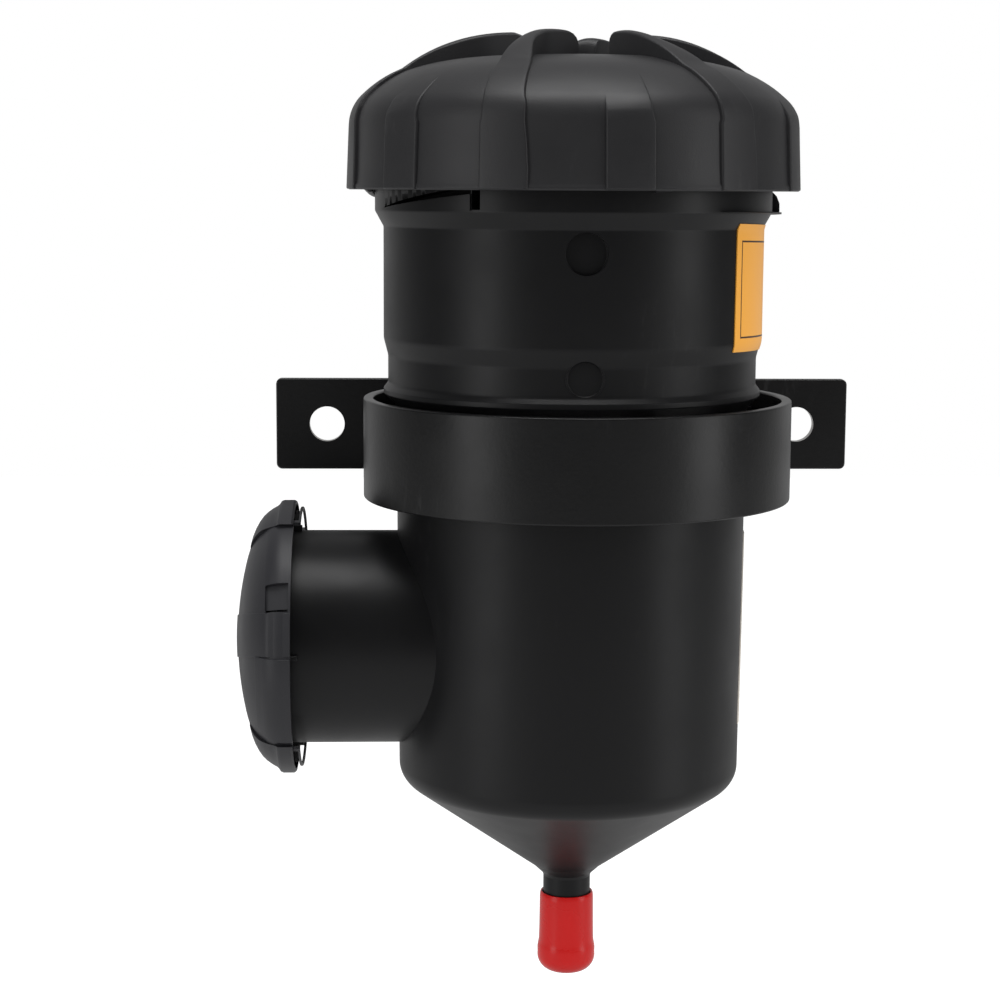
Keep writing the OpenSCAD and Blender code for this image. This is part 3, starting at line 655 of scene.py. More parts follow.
@dataclass(frozen=True)
class LabelFinish(Finish):
    """A printed film with a thin border line set in from its edge."""

    border: NodeTree | None = None
    centre_deg: float = 85.0
    half_deg: float = 30.6
    centre_up: float = -24.75
    half_height: float = 11.9
    radius: float = 49.2
    line: float = 0.22
    lean: float = 1.15
    line_colour: Colour = (0.05, 0.015, 0.005)

    def decorate(self, nodes: Sockets, colour: NodeSocket) -> NodeSocket:
        """Draws the border line over the film's colour.

        Args:
            nodes: The material's nodes.
            colour: The film's colour.

        Returns:
            The colour with the line on it.
        """
        place = nodes.add("ShaderNodeGroup", node_tree=self.border)
        set_inputs(place, {
            "Azimuth": math.radians(self.centre_deg), "Half Angle": math.radians(self.half_deg),
            "Height": (self.centre_up + EDGE_Z) * MM, "Half Height": self.half_height * MM,
            "Radius": self.radius * MM, "Line": self.line * MM, "Lean": self.lean * MM})
        return nodes.blend(place.outputs["Line"], colour, self.line_colour)


@dataclass
class Finishes:
    """Every material of the catch can, made once."""

    surface: NodeTree = field(default_factory=surface_group)
    border: NodeTree = field(default_factory=border_group)

    def make(self, name: str, colour: Colour, roughness: float, **options: object) -> Material:
        """Makes the material of a finish with those values."""
        return Finish(name, colour, roughness, **options).material(self.surface)

    def __post_init__(self) -> None:
        """Makes the materials."""
        make = self.make
        self.housing = make("housing_plastic", (0.0055, 0.0055, 0.0061), 0.4, specular=0.3,
                            grain_height=0.012, mottle=0.1, scuffs=0.035)
        # Near-black, duller material that paints shade into the faces of the screw grooves under the lid
        self.painted_groove_shade = make("housing_painted_groove_shade", (0.003, 0.003, 0.0032), 0.6, specular=0.1,
                           scuffs=0.0)
        self.lid = make("lid_plastic", (0.015, 0.0148, 0.0163), 0.47, specular=0.5,
                        grain_height=0.03, mottle=0.14, scuffs=0.12)
        self.cover = make("cover_plastic", (0.021, 0.021, 0.0245), 0.46, specular=0.42,
                          grain_height=0.03, mottle=0.16, scuffs=0.4)
        self.bracket = make("bracket_coat", (0.004, 0.004, 0.0043), 0.34, specular=0.42,
                            grain_scale=900.0, grain_height=0.03, mottle=0.12, scuffs=0.08)
        # Light grey metal for the bolt holes' walls, a painted reflection standing in for the black
        # coat's bright grazing reflection
        self.bore = make("bore_painted_reflection", (0.42, 0.41, 0.4), 0.34, metallic=0.8, scuffs=0.0)
        self.cap = make("red_vinyl", (0.62, 0.007, 0.006), 0.24, specular=0.34, coat=0.08,
                        grain_scale=400.0, grain_height=0.02, mottle=0.08, scuffs=0.0)
        self.rubber = make("black_rubber", (0.02, 0.02, 0.02), 0.6, grain_height=0.03)
        self.fleece = make("wound_fleece", (0.78, 0.75, 0.67), 0.9, specular=0.2,
                           grain_scale=1200.0, grain_height=0.4, mottle=0.1, scuffs=0.0)
        self.plate = make("grey_plastic", (0.07, 0.072, 0.08), 0.5, scuffs=0.1)
        self.natural = make("natural_plastic", (0.68, 0.65, 0.58), 0.45, scuffs=0.0)
        self.spring = make("spring_steel", (0.6, 0.6, 0.62), 0.28, metallic=1.0,
                           mottle=0.06, scuffs=0.0)
        self.orange = LabelFinish("orange_film", (1.0, 0.45, 0.05), 0.4, scuffs=0.05, mottle=0.04,
                                  grain_scale=700.0, grain_height=0.01, scuff_colour=(0.9, 0.6, 0.35),
                                  border=self.border).material(self.surface)
        self.pale = make("pale_film", (0.97, 0.9, 0.8), 0.4, mottle=0.03, scuffs=0.05,
                         grain_height=0.01, scuff_colour=(0.6, 0.5, 0.35))


# ---- housing ------------------------------------------------------------------------------


# How far a cutting shape reaches out past the wall
BEYOND = 60.0

# Lower and upper line of the grooves over the ramps, each as azimuth and height
SHORT_GROOVE = (((-72.0, -4.6), (-32.5, -0.85)),
                ((-72.0, -4.35), (-60.0, -2.6), (-46.0, -0.7), (-32.5, 0.8)))
LONG_GROOVE = (((-79.5, -4.8), (-22.0, -5.4)),
               ((-79.5, -4.6), (-64.0, -3.9), (-56.0, -3.0), (-46.0, -1.5), (-36.0, -0.2),
                (-22.0, 1.0)))


@dataclass
class Housing:
    """The black moulded can with its regulator tube, spigots and screw ramps."""

    body_r: float = 49.0
    waist_r: float = 47.85
    sump_r: float = 45.5
    sump_foot_r: float = 45.0
    wall: float = 2.8
    collar_r: float = 51.2
    neck_r: float = 48.6
    neck_h: float = 14.0
    corner: Point = (38.5, -150.5)
    corner_r: float = 6.5
    cone_deg: float = 35.3
    spout_r: float = 8.0
    stub_r: float = 6.3
    bore_r: float = 4.2
    stub_len: float = 25.5
    shelf_z: float = -86.0
    hole_r: float = 16.0
    ramp_start: float = -78.5
    repeats: int = 3
    ramp_foot: float = -4.9
    notch_start: float = -32.2
    ramp_reach: tuple[float, ...] = (51.75, 53.6, 51.75)
    grooves: tuple[tuple[tuple[Point, ...], tuple[Point, ...]], ...] = (SHORT_GROOVE, LONG_GROOVE,
                                                                        SHORT_GROOVE)
    upper_mark_r: float = 5.2
    upper_mark_up: float = -15.0
    lower_mark_r: float = 4.4
    lower_mark_up: float = -45.0
    tube_r: float = 28.0
    tube_wall: float = 2.6
    flange_x: float = 73.6
    flange_r: float = 31.0
    spigot_r: float = 12.5
    spigot_bore_r: float = 10.0
    inlet_up: float = -24.5
    outlet_x: float = 52.0
    ring_bore_r: float = 53.2
    ring_off: float = 1.5

    def outer_corners(self) -> list[Corner]:
        """Returns the outside of the can from the neck's rim to the end of the drain stub."""
        slope = math.radians(self.cone_deg)
        start = (self.corner[0] + self.corner_r * math.sin(slope),
                 self.corner[1] - self.corner_r * math.cos(slope))
        spout = start[1] - (start[0] - self.spout_r) * math.tan(slope)
        tip = spout - self.stub_len
        curve = arc(self.corner, self.corner_r, 0.0, self.cone_deg - 90.0, 8)
        return [
            Corner(self.neck_r, self.neck_h, 1.0), Corner(self.neck_r, 0.6, 0.3),
            Corner(self.collar_r, 0.6, 0.3), Corner(self.collar_r, -5.3, 1.4),
            Corner(self.body_r, -9.3, 1.2), Corner(self.body_r, -38.0, 5.0),
            Corner(self.waist_r, -42.4, 4.0), Corner(self.waist_r, -49.5, 1.6),
            Corner(self.body_r, -51.0, 0.7), Corner(self.body_r, -52.3, 0.6),
            Corner(self.sump_r + 0.6, -55.0, 0.8), Corner(self.sump_r, -57.0, 1.0),
            Corner(self.sump_r, self.shelf_z, 0.0),
            *[Corner(out, up) for out, up in curve],
            Corner(self.spout_r + 1.2, spout + 0.85, 1.2), Corner(self.stub_r + 0.3, spout - 1.6, 0.8),
            Corner(self.stub_r, spout - 2.4, 0.3), Corner(self.stub_r, tip, 0.7),
            Corner(self.bore_r, tip, 0.3),
        ]

    def inner_corners(self) -> list[Corner]:
        """Returns the inside of the can from the drain bore up to the neck."""
        slope = math.radians(self.cone_deg)
        inside = self.corner_r - self.wall
        foot = (self.corner[0] + inside * math.sin(slope), self.corner[1] - inside * math.cos(slope))
        spout = foot[1] - (foot[0] - self.bore_r) * math.tan(slope)
        bore = self.body_r - self.wall
        return [
            Corner(self.bore_r, spout), *[Corner(*p) for p in arc(self.corner, inside,
                                                                  self.cone_deg - 90.0, 0.0, 4)],
            Corner(self.sump_r - self.wall, -51.0), Corner(self.waist_r - self.wall, -46.5),
            Corner(self.waist_r - self.wall, -41.0), Corner(bore, -36.6),
            Corner(bore, self.neck_h, 0.6),
        ]

    def spigot(self, start: float, tip: float) -> list[Point]:
        """Section of a hose spigot with a bead.

        Args:
            start: Distance along its axis at which it starts.
            tip: Distance at which it ends.

        Returns:
            The closed outline.
        """
        out, bore = self.spigot_r, self.spigot_bore_r
        return rounded([
            Corner(bore, start), Corner(out, start), Corner(out, tip - 6.2, 0.8),
            Corner(out + 1.0, tip - 5.0, 0.9), Corner(out + 1.0, tip - 3.8, 1.2),
            Corner(out - 0.5, tip, 0.6), Corner(bore, tip, 0.4)], closed=True)

    def build(self, finishes: Finishes) -> Object:
        """Builds the housing.

        Args:
            finishes: The materials.

        Returns:
            Its object.
        """
        piece = Moulding("catch_can_housing")
        piece.ring(rounded(self.outer_corners() + self.inner_corners(), closed=True, steps=5),
                   steps=192)
        marks = Moulding("marks")
        for radius, up, floor in ((self.upper_mark_r, self.upper_mark_up, self.body_r - 2.3),
                                  (self.lower_mark_r, self.lower_mark_up, self.waist_r - 0.7)):
            marks.ring([(0.0, floor), (radius - 0.3, floor), (radius, floor + 0.3), (radius, BEYOND),
                        (0.0, BEYOND)], facing_front(up), closed=False, steps=48)
        piece.cut(marks)
        self.cut_grooves(piece)
        # Faces of the screw grooves under the lid take the second material, painted shade darker than
        # the plastic
        for face in piece.bm.faces:
            centre = face.calc_center_median()
            if -6.0 < centre.z < 1.0 and 46.6 < math.hypot(centre.x, centre.y) < 50.9:
                face.material_index = 1
        piece.ring(ring_section(self.lower_mark_r - 0.1, self.lower_mark_r + 0.35, self.waist_r - 1.0,
                                self.waist_r + 0.02, 0.12), facing_front(self.lower_mark_up), steps=48)
        self.add_tube(piece)
        self.add_collar(piece)
        self.add_inside(piece)
        return piece.finish([finishes.housing, finishes.painted_groove_shade], Body.CANISTER, ["housing"])

    def add_tube(self, piece: Moulding) -> None:
        """Adds the regulator tube, its flange and webs, and the two hose spigots."""
        bore, face = self.tube_r - self.tube_wall, self.flange_x + 2.0
        piece.ring(rounded([
            Corner(bore, 30.0), Corner(self.tube_r, 30.0), Corner(self.tube_r, self.flange_x, 0.8),
            Corner(self.flange_r, self.flange_x, 0.4), Corner(self.flange_r, face, 0.4),
            Corner(bore, face, 0.4)], closed=True), TUBE)
        for turn in range(0, 360, 90):
            web = TUBE @ turned(turn)
            piece.block((self.tube_r - 1.0, -0.6, self.flange_x - 3.2),
                        (self.flange_r - 1.4, 0.6, self.flange_x + 0.5), web, soften=0.25)
        inlet = Matrix.Translation((0.0, 0.0, self.inlet_up)) @ BACKWARD
        piece.ring(self.spigot(46.6, 76.0), inlet, steps=72)
        outlet = Matrix.Translation((-self.outlet_x, 0.0, -TUBE_DEPTH)) @ BACKWARD
        piece.ring(self.spigot(-14.0, 60.0), outlet, steps=72)

    def cut_grooves(self, piece: Moulding) -> None:
        """Cuts the screw grooves, and the notch at each ramp's end, into the collar."""
        for k in range(self.repeats):
            groove = Moulding("groove")
            groove.drape(self.band(*self.grooves[k], (47.0, 56.0)), 30, 1,
                         turned(k * 360.0 / self.repeats))
            piece.cut(groove)
            notch = Moulding("notch")
            notch.sector([(47.4, -4.7), (56.0, -4.7), (56.0, 1.0), (47.4, 1.0)],
                         self.notch_start + k * 360.0 / self.repeats, 2.5, steps=2)
            piece.cut(notch)

    def band(self, low: Sequence[Point], high: Sequence[Point], reach: Point) -> Surface:
        """Surface of a strip round the can between two lines of azimuth and height.

        Args:
            low: Its lower line.
            high: Its upper line, over the same azimuths.
            reach: Its inner and outer radius.

        Returns:
            The surface, for Moulding.drape.
        """
        def surface(u: float, v: float, upper: bool) -> Vector:
            """A point of the strip."""
            azimuth = low[0][0] + (low[-1][0] - low[0][0]) * u
            out = reach[0] + (reach[1] - reach[0]) * v
            return around(azimuth, out, between(high if upper else low, azimuth))
        return surface

    def add_collar(self, piece: Moulding) -> None:
        """Adds the three screw ramps under the lid and the three flights on the neck."""
        flight = [(self.neck_r - 1.0, 2.0), (53.4, 2.0), (53.4, 4.4), (self.neck_r - 1.0, 4.4)]
        for k in range(self.repeats):
            turn = turned(k * 360.0 / self.repeats)
            low, _ = self.grooves[k]
            floor = [(azimuth, self.ramp_foot - 0.02 * (azimuth - low[0][0]) * (k == 1))
                     for azimuth, _ in low]
            piece.drape(self.band(floor, low, (50.0, self.ramp_reach[k])), 30, 4, turn, soften=0.12)
            piece.sector(flight, self.ramp_start - 24.0 + k * 120.0, 40.0, rise=40.0 * LEAD / 360.0,
                         steps=16, soften=0.3)
        stop = [(50.0, -5.9), (52.9, -5.9), (53.4, -5.3), (53.35, -3.0), (52.6, -1.2), (51.2, 0.2),
                (50.0, 0.2)]
        piece.sector(stop, 87.0, 11.0, steps=6, soften=0.25)

    def add_inside(self, piece: Moulding) -> None:
        """Adds the shelf, its seat ring, the regulator's seat duct and the centring ribs."""
        piece.ring(ring_section(self.hole_r, self.sump_r - 1.0, self.shelf_z - 3.0, self.shelf_z, 0.3))
        piece.ring(ring_section(self.hole_r, self.hole_r + 4.0, self.shelf_z - 0.5,
                                self.shelf_z + 4.0, 0.4), steps=96)
        piece.ring(ring_section(8.5, 10.5, self.outlet_x + 10.0, 73.0, 0.3), TUBE, steps=72)
        for k in range(8):
            azimuth = math.radians((k + 0.5) * 45.0)
            reach = self.ring_off * math.sin(azimuth) + math.sqrt(
                self.ring_bore_r ** 2 - (self.ring_off * math.cos(azimuth)) ** 2)
            turn = Matrix.Rotation(azimuth - math.pi / 2, 4, "Z")
            piece.block((44.0, -1.2, -77.4), (reach - 0.1, 1.2, -57.8), turn, soften=0.3)


# ---- lid ----------------------------------------------------------------------------------


class Grip(Enum):
    """The two kinds of grip band on the lid."""

    PLAIN = "plain"
    SWIRL = "swirl"


@dataclass
class ScrewLid:
    """The screw lid: a domed shell with plain grip bands and bands that run on as swirl fins."""

    foot_r: float = 57.7
    draft: float = 0.7
    skirt_h: float = 16.0
    shoulder_r: float = 10.0
    shoulder_end: float = 45.0
    dome_r: float = 30.0
    dome_end: float = 74.0
    crown_r: float = 66.0
    wall: float = 2.8
    band_h: float = 0.9
    half_w: float = 6.05
    pairs: int = 6
    fin_azimuth: float = -20.5
    lug_start: float = -102.5
    lug_span: float = 16.0
    plain_steps: int = 24
    plain_step: float = 2.9
    crest: Point = (17.0, -5.2)
    crest_r: float = 45.0
    pinch: tuple[Point, ...] = ((24.0, -0.61), (28.0, -0.85), (31.0, -0.8), (34.0, -0.35),
                                (37.0, 0.4), (39.0, 1.0), (41.5, 1.7), (44.0, 2.25), (47.0, 2.8),
                                (50.0, 3.3), (53.0, 3.7), (55.0, 4.1), (56.3, 4.6), (57.0, 5.1))

    def __post_init__(self) -> None:
        """Works out the arcs of the dome."""
        self.dome = Dome((self.foot_r - self.draft, self.skirt_h),
                         ((self.shoulder_r, self.shoulder_end, 10), (self.dome_r, self.dome_end, 9),
                          (self.crown_r, 90.0, 8)))

    def outline(self, off: float, last: float = 90.0) -> list[Point]:
        """Outline of the dome from the foot of the skirt towards the crown.

        Args:
            off: Distance outwards from the lid's surface.
            last: Angle at which it stops.

        Returns:
            The points.
        """
        points = [(self.foot_r + off, 0.0), (self.foot_r - 0.35 * self.draft + off, 5.0),
                  (self.foot_r - 0.7 * self.draft + off, 11.0)]
        return points + self.dome.outline(off, last)

    def height(self, out: float, off: float) -> float:
        """Height of the dome above a distance from the axis, moved outwards by off."""
        _, side, crown = self.dome.arcs
        limit = crown[0].x + (self.crown_r + off) * math.cos(math.radians(self.dome_end))
        centre, radius = (crown if out < limit else side)[:2]
        reach = min(abs(out - centre.x), radius + off)
        return centre.y + math.sqrt((radius + off) ** 2 - reach ** 2)

    def shell(self, piece: Moulding) -> None:
        """Adds the shell with its rim, the seal's plug and the ring that holds the element."""
        outer = self.outline(0.0)
        outer[0] = (self.foot_r + 0.35, 0.45)
        outer.insert(0, (self.foot_r + 0.1, 0.0))
        outer.insert(2, (self.foot_r + 0.3, 1.1))
        outer.insert(3, (self.foot_r - 0.02, 1.7))
        inner = [(out, up) for out, up in self.outline(-self.wall) if out > 0.4][::-1]
        crown = [(0.0, inner[0][1])]
        inner[-1] = (self.foot_r - self.wall, 0.35)
        lip = [(self.foot_r - self.wall + 0.35, 0.0)]
        outer[-1] = (0.0, outer[-1][1])
        piece.ring(crown + inner + lip + outer, closed=False, steps=192)
        piece.ring(ring_section(42.5, 45.9, 3.0, 24.0, 0.5))
        piece.ring(ring_section(20.0, 22.2, 9.3, 31.5, 0.5), steps=96)

    def plan(self, out: float) -> Point:
        """Lateral limits of a swirl fin at a distance from the axis, as trailing and leading."""
        trail = -self.half_w + (out - 48.0) ** 2 / 260.0
        if out < self.pinch[0][0]:
            lead = 37.6 - math.sqrt(39.5 ** 2 - (out - 34.0) ** 2) + 0.16 * (self.pinch[0][0] - out)
        else:
            lead = between(self.pinch, out)
        return max(trail, -self.half_w), min(lead, self.half_w)

    def swirl_path(self) -> list[Point]:
        """Returns the crest of a fin from the foot of the skirt to its end near the crown."""
        path = [p for p in self.outline(self.band_h, last=self.dome_end) if p[0] > 46.5]
        path[0] = (self.foot_r + self.band_h - 0.05, 0.15)
        crest = [(x, y) for x, y in arc(self.crest, self.crest_r, 50.0, 90.0, 16)]
        crest = [(x, max(y, self.height(x, self.band_h))) for x, y in crest if x < 45.8]
        end = [(16.2, 39.75), (15.2, 39.3), (14.5, 38.5), (14.1, 37.4), (14.0, 36.0), (14.0, 33.4),
               (14.0, 31.2)]
        return path + crest + end

    def swirl(self, u: float, v: float, upper: bool) -> Vector:
        """A point of a swirl band, for the strip that follows it."""
        out, up = along(self.swirl_points, u)
        trail, lead = self.plan(out) if up > self.skirt_h else (
            -self.half_w, self.half_w - 0.95 * max(0.0, up / self.skirt_h - 0.5) * 2)
        aside = trail + (lead - trail) * v
        if upper:
            fin = min(1.0, max(0.0, (44.0 - out) / 12.0))
            up -= 0.55 * fin * (2 * v - 1) ** 2
        elif up < 26.0:
            out -= 0.55 * self.wall
        else:
            up = self.height(out, -0.5 * self.wall)
            out += 0.4 if out < 15.0 else 0.0
        return Vector((math.sqrt(max(out * out - aside * aside, 0.0)), aside, up))

    def plain(self, u: float, v: float, upper: bool) -> Vector:
        """A point of a plain band, which narrows and fades out on the dome."""
        out, up = along(self.plain_points, u)
        fade = min(1.0, max(0.0, (up - self.skirt_h) / 13.0))
        if not upper:
            out, up = out - 1.3 * (1 - 0.5 * fade), up - 1.0 * fade
        if upper:
            sink = 0.55 * min(1.0, 2.4 * fade) * (1 - v) * (1 - fade)
            out, up = out - sink, up - sink
        aside = -self.half_w + (2 * self.half_w - 1.7 * fade ** 0.6) * v
        return Vector((math.sqrt(out * out - aside * aside), aside, up))

    def plain_path(self) -> list[Point]:
        """Returns the middle line of a plain band's face."""
        path = self.outline(self.band_h)[:3]
        path[0] = (self.foot_r + self.band_h - 0.05, 0.15)
        for step in range(self.plain_steps):
            angle = step * self.plain_step
            fade = min(1.0, max(0.0, (step - 5) / 18.0))
            off = self.band_h * (1 - fade) ** 1.1 - 0.1 * fade
            centre, radius = self.dome.arcs[1 if angle > self.shoulder_end else 0][:2]
            path += arc(tuple(centre), radius + off, angle, angle, 1)[:1]
        return path

    def build(self, finishes: Finishes) -> Object:
        """Builds the lid.

        Args:
            finishes: The materials.

        Returns:
            Its object.
        """
        piece = Moulding("screw_lid")
        self.swirl_points = self.swirl_path()
        self.plain_points = self.plain_path()
        self.shell(piece)
        shapes = {Grip.SWIRL: (self.swirl, len(self.swirl_points) - 1),
                  Grip.PLAIN: (self.plain, len(self.plain_points) - 1)}
        for k in range(2 * self.pairs):
            grip = Grip.PLAIN if k % 2 else Grip.SWIRL
            surface, steps = shapes[grip]
            turn = self.fin_azimuth + k * 180.0 / self.pairs - 90.0
            piece.drape(surface, steps, 8, turned(turn), soften=0.45)
        for k in range(3):
            foot = -0.5 if k else -2.0
            piece.sector([(51.65, foot), (52.9, foot), (55.4, 0.4), (55.4, 1.2), (51.65, 1.2)],
                         self.lug_start + 120.0 * k, self.lug_span,
                         rise=self.lug_span * LEAD / 360.0, soften=0.3)
        return piece.finish([finishes.lid], Body.LID, ["lid"])


# ---- regulator cover ----------------------------------------------------------------------


@dataclass
class RegulatorCover:
    """The snap-on dome over the regulator, with two grip lobes, a rib and side panels."""

    rim_x: float = 72.0
    rim_r: float = 34.9
    band: float = 2.1
    edge_r: float = 6.0
    edge_end: float = 50.0
    side_r: float = 30.0
    side_end: float = 76.0
    wall: float = 1.6
    lobe_half: float = 38.0
    loop_half: float = 32.0
    panel_start: float = -50.5
    panel_span: float = 40.5
    panel_end: float = 56.0
    rib_half: float = 5.5
    rib_h: float = 0.3
    lobe: tuple[Point, ...] = ((34.5, 0.05), (35.6, 0.05), (35.95, 0.5), (35.95, 3.3), (35.7, 3.9),
                               (34.9, 4.4), (34.4, 5.0), (33.8, 6.1), (32.8, 7.5), (31.8, 8.55),
                               (30.5, 9.5), (28.8, 10.45), (27.0, 11.2), (25.4, 11.65), (24.0, 11.75))

    def __post_init__(self) -> None:
        """Works out the arcs of the dome, of which the last is centred on the axis."""
        first, second = math.radians(self.edge_end), math.radians(self.side_end)
        off_axis = self.rim_r - self.edge_r + (self.edge_r - self.side_r) * math.cos(first)
        self.dome = Dome((self.rim_r, self.band),
                         ((self.edge_r, self.edge_end, 8), (self.side_r, self.side_end, 9),
                          (self.side_r + off_axis / math.cos(second), 90.0, 8)))

    def outline(self, off: float, last: float = 90.0) -> list[Point]:
        """Outline of the dome from its rim to its crown, moved outwards by off."""
        points = [(self.rim_r + off, 0.0)] + self.dome.outline(off, last)
        return [(out, up + self.rim_x) for out, up in points]

    def lobe_surface(self, u: float, v: float, upper: bool) -> Vector:
        """A point of a grip lobe, which stands on the dome and narrows towards its crown."""
        out, up = along(self.lobe, u)
        if not upper:
            out, up = out - 1.2, max(up - 0.7, 0.0)
        half = math.radians(self.lobe_half - 1.35 * max(0.0, 36.0 - out))
        angle = half * (2 * v - 1)
        return Vector((out * math.cos(angle), out * math.sin(angle), up + self.rim_x))

    def build(self, finishes: Finishes) -> Object:
        """Builds the cover.

        Args:
            finishes: The materials.

        Returns:
            Its object.
        """
        piece = Moulding("regulator_snap_cover")
        outer = self.outline(0.0)
        inner = [p for p in self.outline(-self.wall) if p[0] > 0.5][::-1]
        outer[-1] = (0.0, outer[-1][1])
        piece.ring([(0.0, inner[0][1])] + inner + outer, COVER, closed=False, steps=144)
        windows = Moulding("windows")
        pocket = [(self.rim_r - 0.9, self.rim_x + 0.6), (self.rim_r + 3.0, self.rim_x + 0.6),
                  (self.rim_r + 3.0, self.rim_x + 6.4), (self.rim_r - 2.6, self.rim_x + 6.4)]
        slot = [(self.rim_r - 3.0, self.rim_x + 0.6), (self.rim_r + 3.0, self.rim_x + 0.6),
                (self.rim_r + 3.0, self.rim_x + 6.2), (self.rim_r - 5.0, self.rim_x + 6.2)]
        for turn in (0.0, 180.0):
            windows.sector(pocket, turn + 10.5, 11.5, COVER, steps=6)
            windows.sector(slot, turn + 9.6, 1.3, COVER, steps=2)
        piece.cut(windows)
        for turn in (0.0, 180.0):
            piece.drape(self.lobe_surface, 42, 24, COVER @ turned(turn), soften=0.3)
            loop = ring_section(33.5, 34.2, self.rim_x - 1.8, self.rim_x - 1.1, 0.2)
            piece.sector(loop, turn + 90.0 - self.loop_half, 2 * self.loop_half, COVER, steps=30)
            for end in (-self.loop_half, self.loop_half - 2.0):
                piece.sector(ring_section(33.3, 34.2, self.rim_x - 1.7, self.rim_x + 0.4, 0.2),
                             turn + 90.0 + end, 2.0, COVER, steps=2)
        panel = self.outline(0.6, self.panel_end) + self.outline(-0.8, self.panel_end)[::-1]
        for turn in (0.0, 180.0):
            piece.sector(panel, turn + self.panel_start, self.panel_span, COVER, steps=18, soften=0.25)
        piece.drape(self.rib, 80, 8, COVER, soften=0.15)
        return piece.finish([finishes.cover], Body.CANISTER, ["regulator_cover"])

    def rib(self, u: float, v: float, upper: bool) -> Vector:
        """A point of the rib that crosses the dome from front to back."""
        section = self.outline(self.rib_h if upper else -self.wall / 2)
        across = self.rib_half * (2 * v - 1)
        front = [(math.sqrt(out * out - across * across), up) for out, up in section
                 if out > abs(across) + 1.0]
        along = (2 * u - 1) * front[0][0]
        reach = abs(along)
        rim = section[0][1]
        if reach > front[1][0]:
            up = rim + (front[1][1] - rim) * (front[0][0] - reach) / max(front[0][0] - front[1][0], 1e-6)
        else:
            out = math.hypot(reach, across)
            up = between(section[1:], out)
        return Vector((across, -along, up))


# ---- bracket, cap, labels -----------------------------------------------------------------


@dataclass
class RingBracket:
    """The ring that holds the can, welded to a flat bar with two bolt holes."""

    ring_r: float = 55.8
    wall: float = 2.6
    top: float = -53.5
    height: float = 26.0
    bar_len: float = 164.0
    bar_t: float = 3.0
    pitch: float = 135.0
    hole_r: float = 5.0
    corner_r: float = 1.6
    weld_w: float = 24.0
    off: float = 1.5
    hole_in_ledge: float = 47.0

    def build(self, finishes: Finishes) -> Object:
        """Builds the bracket.

        Args:
            finishes: The materials.

        Returns:
            Its object.
        """
        foot = self.top - self.height
        place = Matrix.Translation((self.off, 0.0, 0.0))
        bar = Moulding("ring_bracket")
        self.add_bar(bar, foot)
        holes = Moulding("holes")
        for side in (-1, 1):
            where = Matrix.Translation((self.off + side * self.pitch / 2, 0.0,
                                        (foot + self.top) / 2)) @ BACKWARD
            holes.ring([(0.0, 40.0), (self.hole_r, 40.0), (self.hole_r, 70.0), (0.0, 70.0)],
                       where, closed=False, steps=64)
        bar.cut(holes)
        # Walls of the bolt holes take the second material, light metal that paints in the coat's bright
        # grazing reflection
        for face in bar.bm.faces:
            centre = face.calc_center_median()
            aside = abs(abs(centre.x - self.off) - self.pitch / 2)
            up = centre.z - (foot + self.top) / 2
            if math.hypot(aside, up) < self.hole_r + 0.05 and abs(face.normal.y) < 0.5:
                face.material_index = 1
        bar.ring(ring_section(self.ring_r - self.wall, self.ring_r, foot, self.top, 0.5), place,
                 steps=192)
        bar.ring(ring_section(self.hole_in_ledge, self.ring_r - 3.5, foot, foot + 2.0, 0.4), steps=192)
        return bar.finish([finishes.bracket, finishes.bore], Body.CANISTER,
                          ["mounting_bracket"])

    def add_bar(self, bar: Moulding, foot: float) -> None:
        """Adds the flat bar with rounded corners and the weld block behind the ring."""
        part = bmesh.new()
        bmesh.ops.create_cube(part, size=1.0)
        bmesh.ops.scale(part, vec=(self.bar_len, self.bar_t, self.height), verts=part.verts[:])
        bmesh.ops.translate(part, vec=(self.off, self.ring_r + self.bar_t / 2, foot + self.height / 2),
                            verts=part.verts[:])
        upright = [e for e in part.edges if abs((e.verts[0].co - e.verts[1].co).y) > 1.0]
        round_edges(part, upright, self.corner_r, segments=5)
        soften_edges(part, 0.45)
        bar.take(part)
        bar.block((self.off - self.weld_w / 2, self.ring_r - self.wall, foot + 0.4),
                  (self.off + self.weld_w / 2, self.ring_r + 0.2, self.top - 0.4), soften=0.5)


@dataclass
class WallLabels:
    """The two films on the right side of the can, laid over its outline."""

    thick: float = 0.22
    sunk: float = 0.3
    lean: Point = (1.3, 0.0)
    upper: tuple[Point, ...] = ((49.72, -7.9), (49.3, -8.7), (49.08, -9.7), (49.04, -25.0),
                                (49.04, -37.6), (48.95, -38.6), (48.55, -39.9), (48.25, -40.9))
    upper_edge: Point = (51.6, 51.0)
    upper_end: float = 116.0
    lower: tuple[Point, ...] = ((45.53, -88.5), (45.46, -100.0), (45.3, -120.0), (45.13, -138.6))
    lower_edge: Point = (80.5, 75.6)
    lower_end: float = 137.0

    def build(self, finishes: Finishes) -> None:
        """Builds both labels.

        Args:
            finishes: The materials.
        """
        film = Moulding("upper_film")
        film.drape(self.surface(self.upper, self.upper_edge, self.upper_end, self.lean[0]), 24, 30)
        film.finish([finishes.orange], Body.CANISTER, ["upper_label"])
        film = Moulding("lower_film")
        film.drape(self.surface(self.lower, self.lower_edge, self.lower_end, self.lean[1]), 12, 30)
        film.finish([finishes.pale], Body.CANISTER, ["lower_label"])

    def surface(self, wall: Sequence[Point], edge: Point, end: float, lean: float) -> Surface:
        """Surface of a film on the wall.

        Args:
            wall: Outline of the wall under it, from its top to its foot.
            edge: Azimuth of its near edge at its top and at its foot.
            end: Azimuth of its far edge.
            lean: How much lower its far edge lies.

        Returns:
            The surface, for Moulding.drape.
        """
        def film(u: float, v: float, upper: bool) -> Vector:
            """A point of the film."""
            up = wall[0][1] + (wall[-1][1] + lean - wall[0][1]) * u - lean * v
            out = between([(height, reach) for reach, height in wall], up)
            start = edge[0] + (edge[1] - edge[0]) * u
            out += self.thick if upper else -self.sunk
            return around(start + (end - start) * v, out, up)
        return film


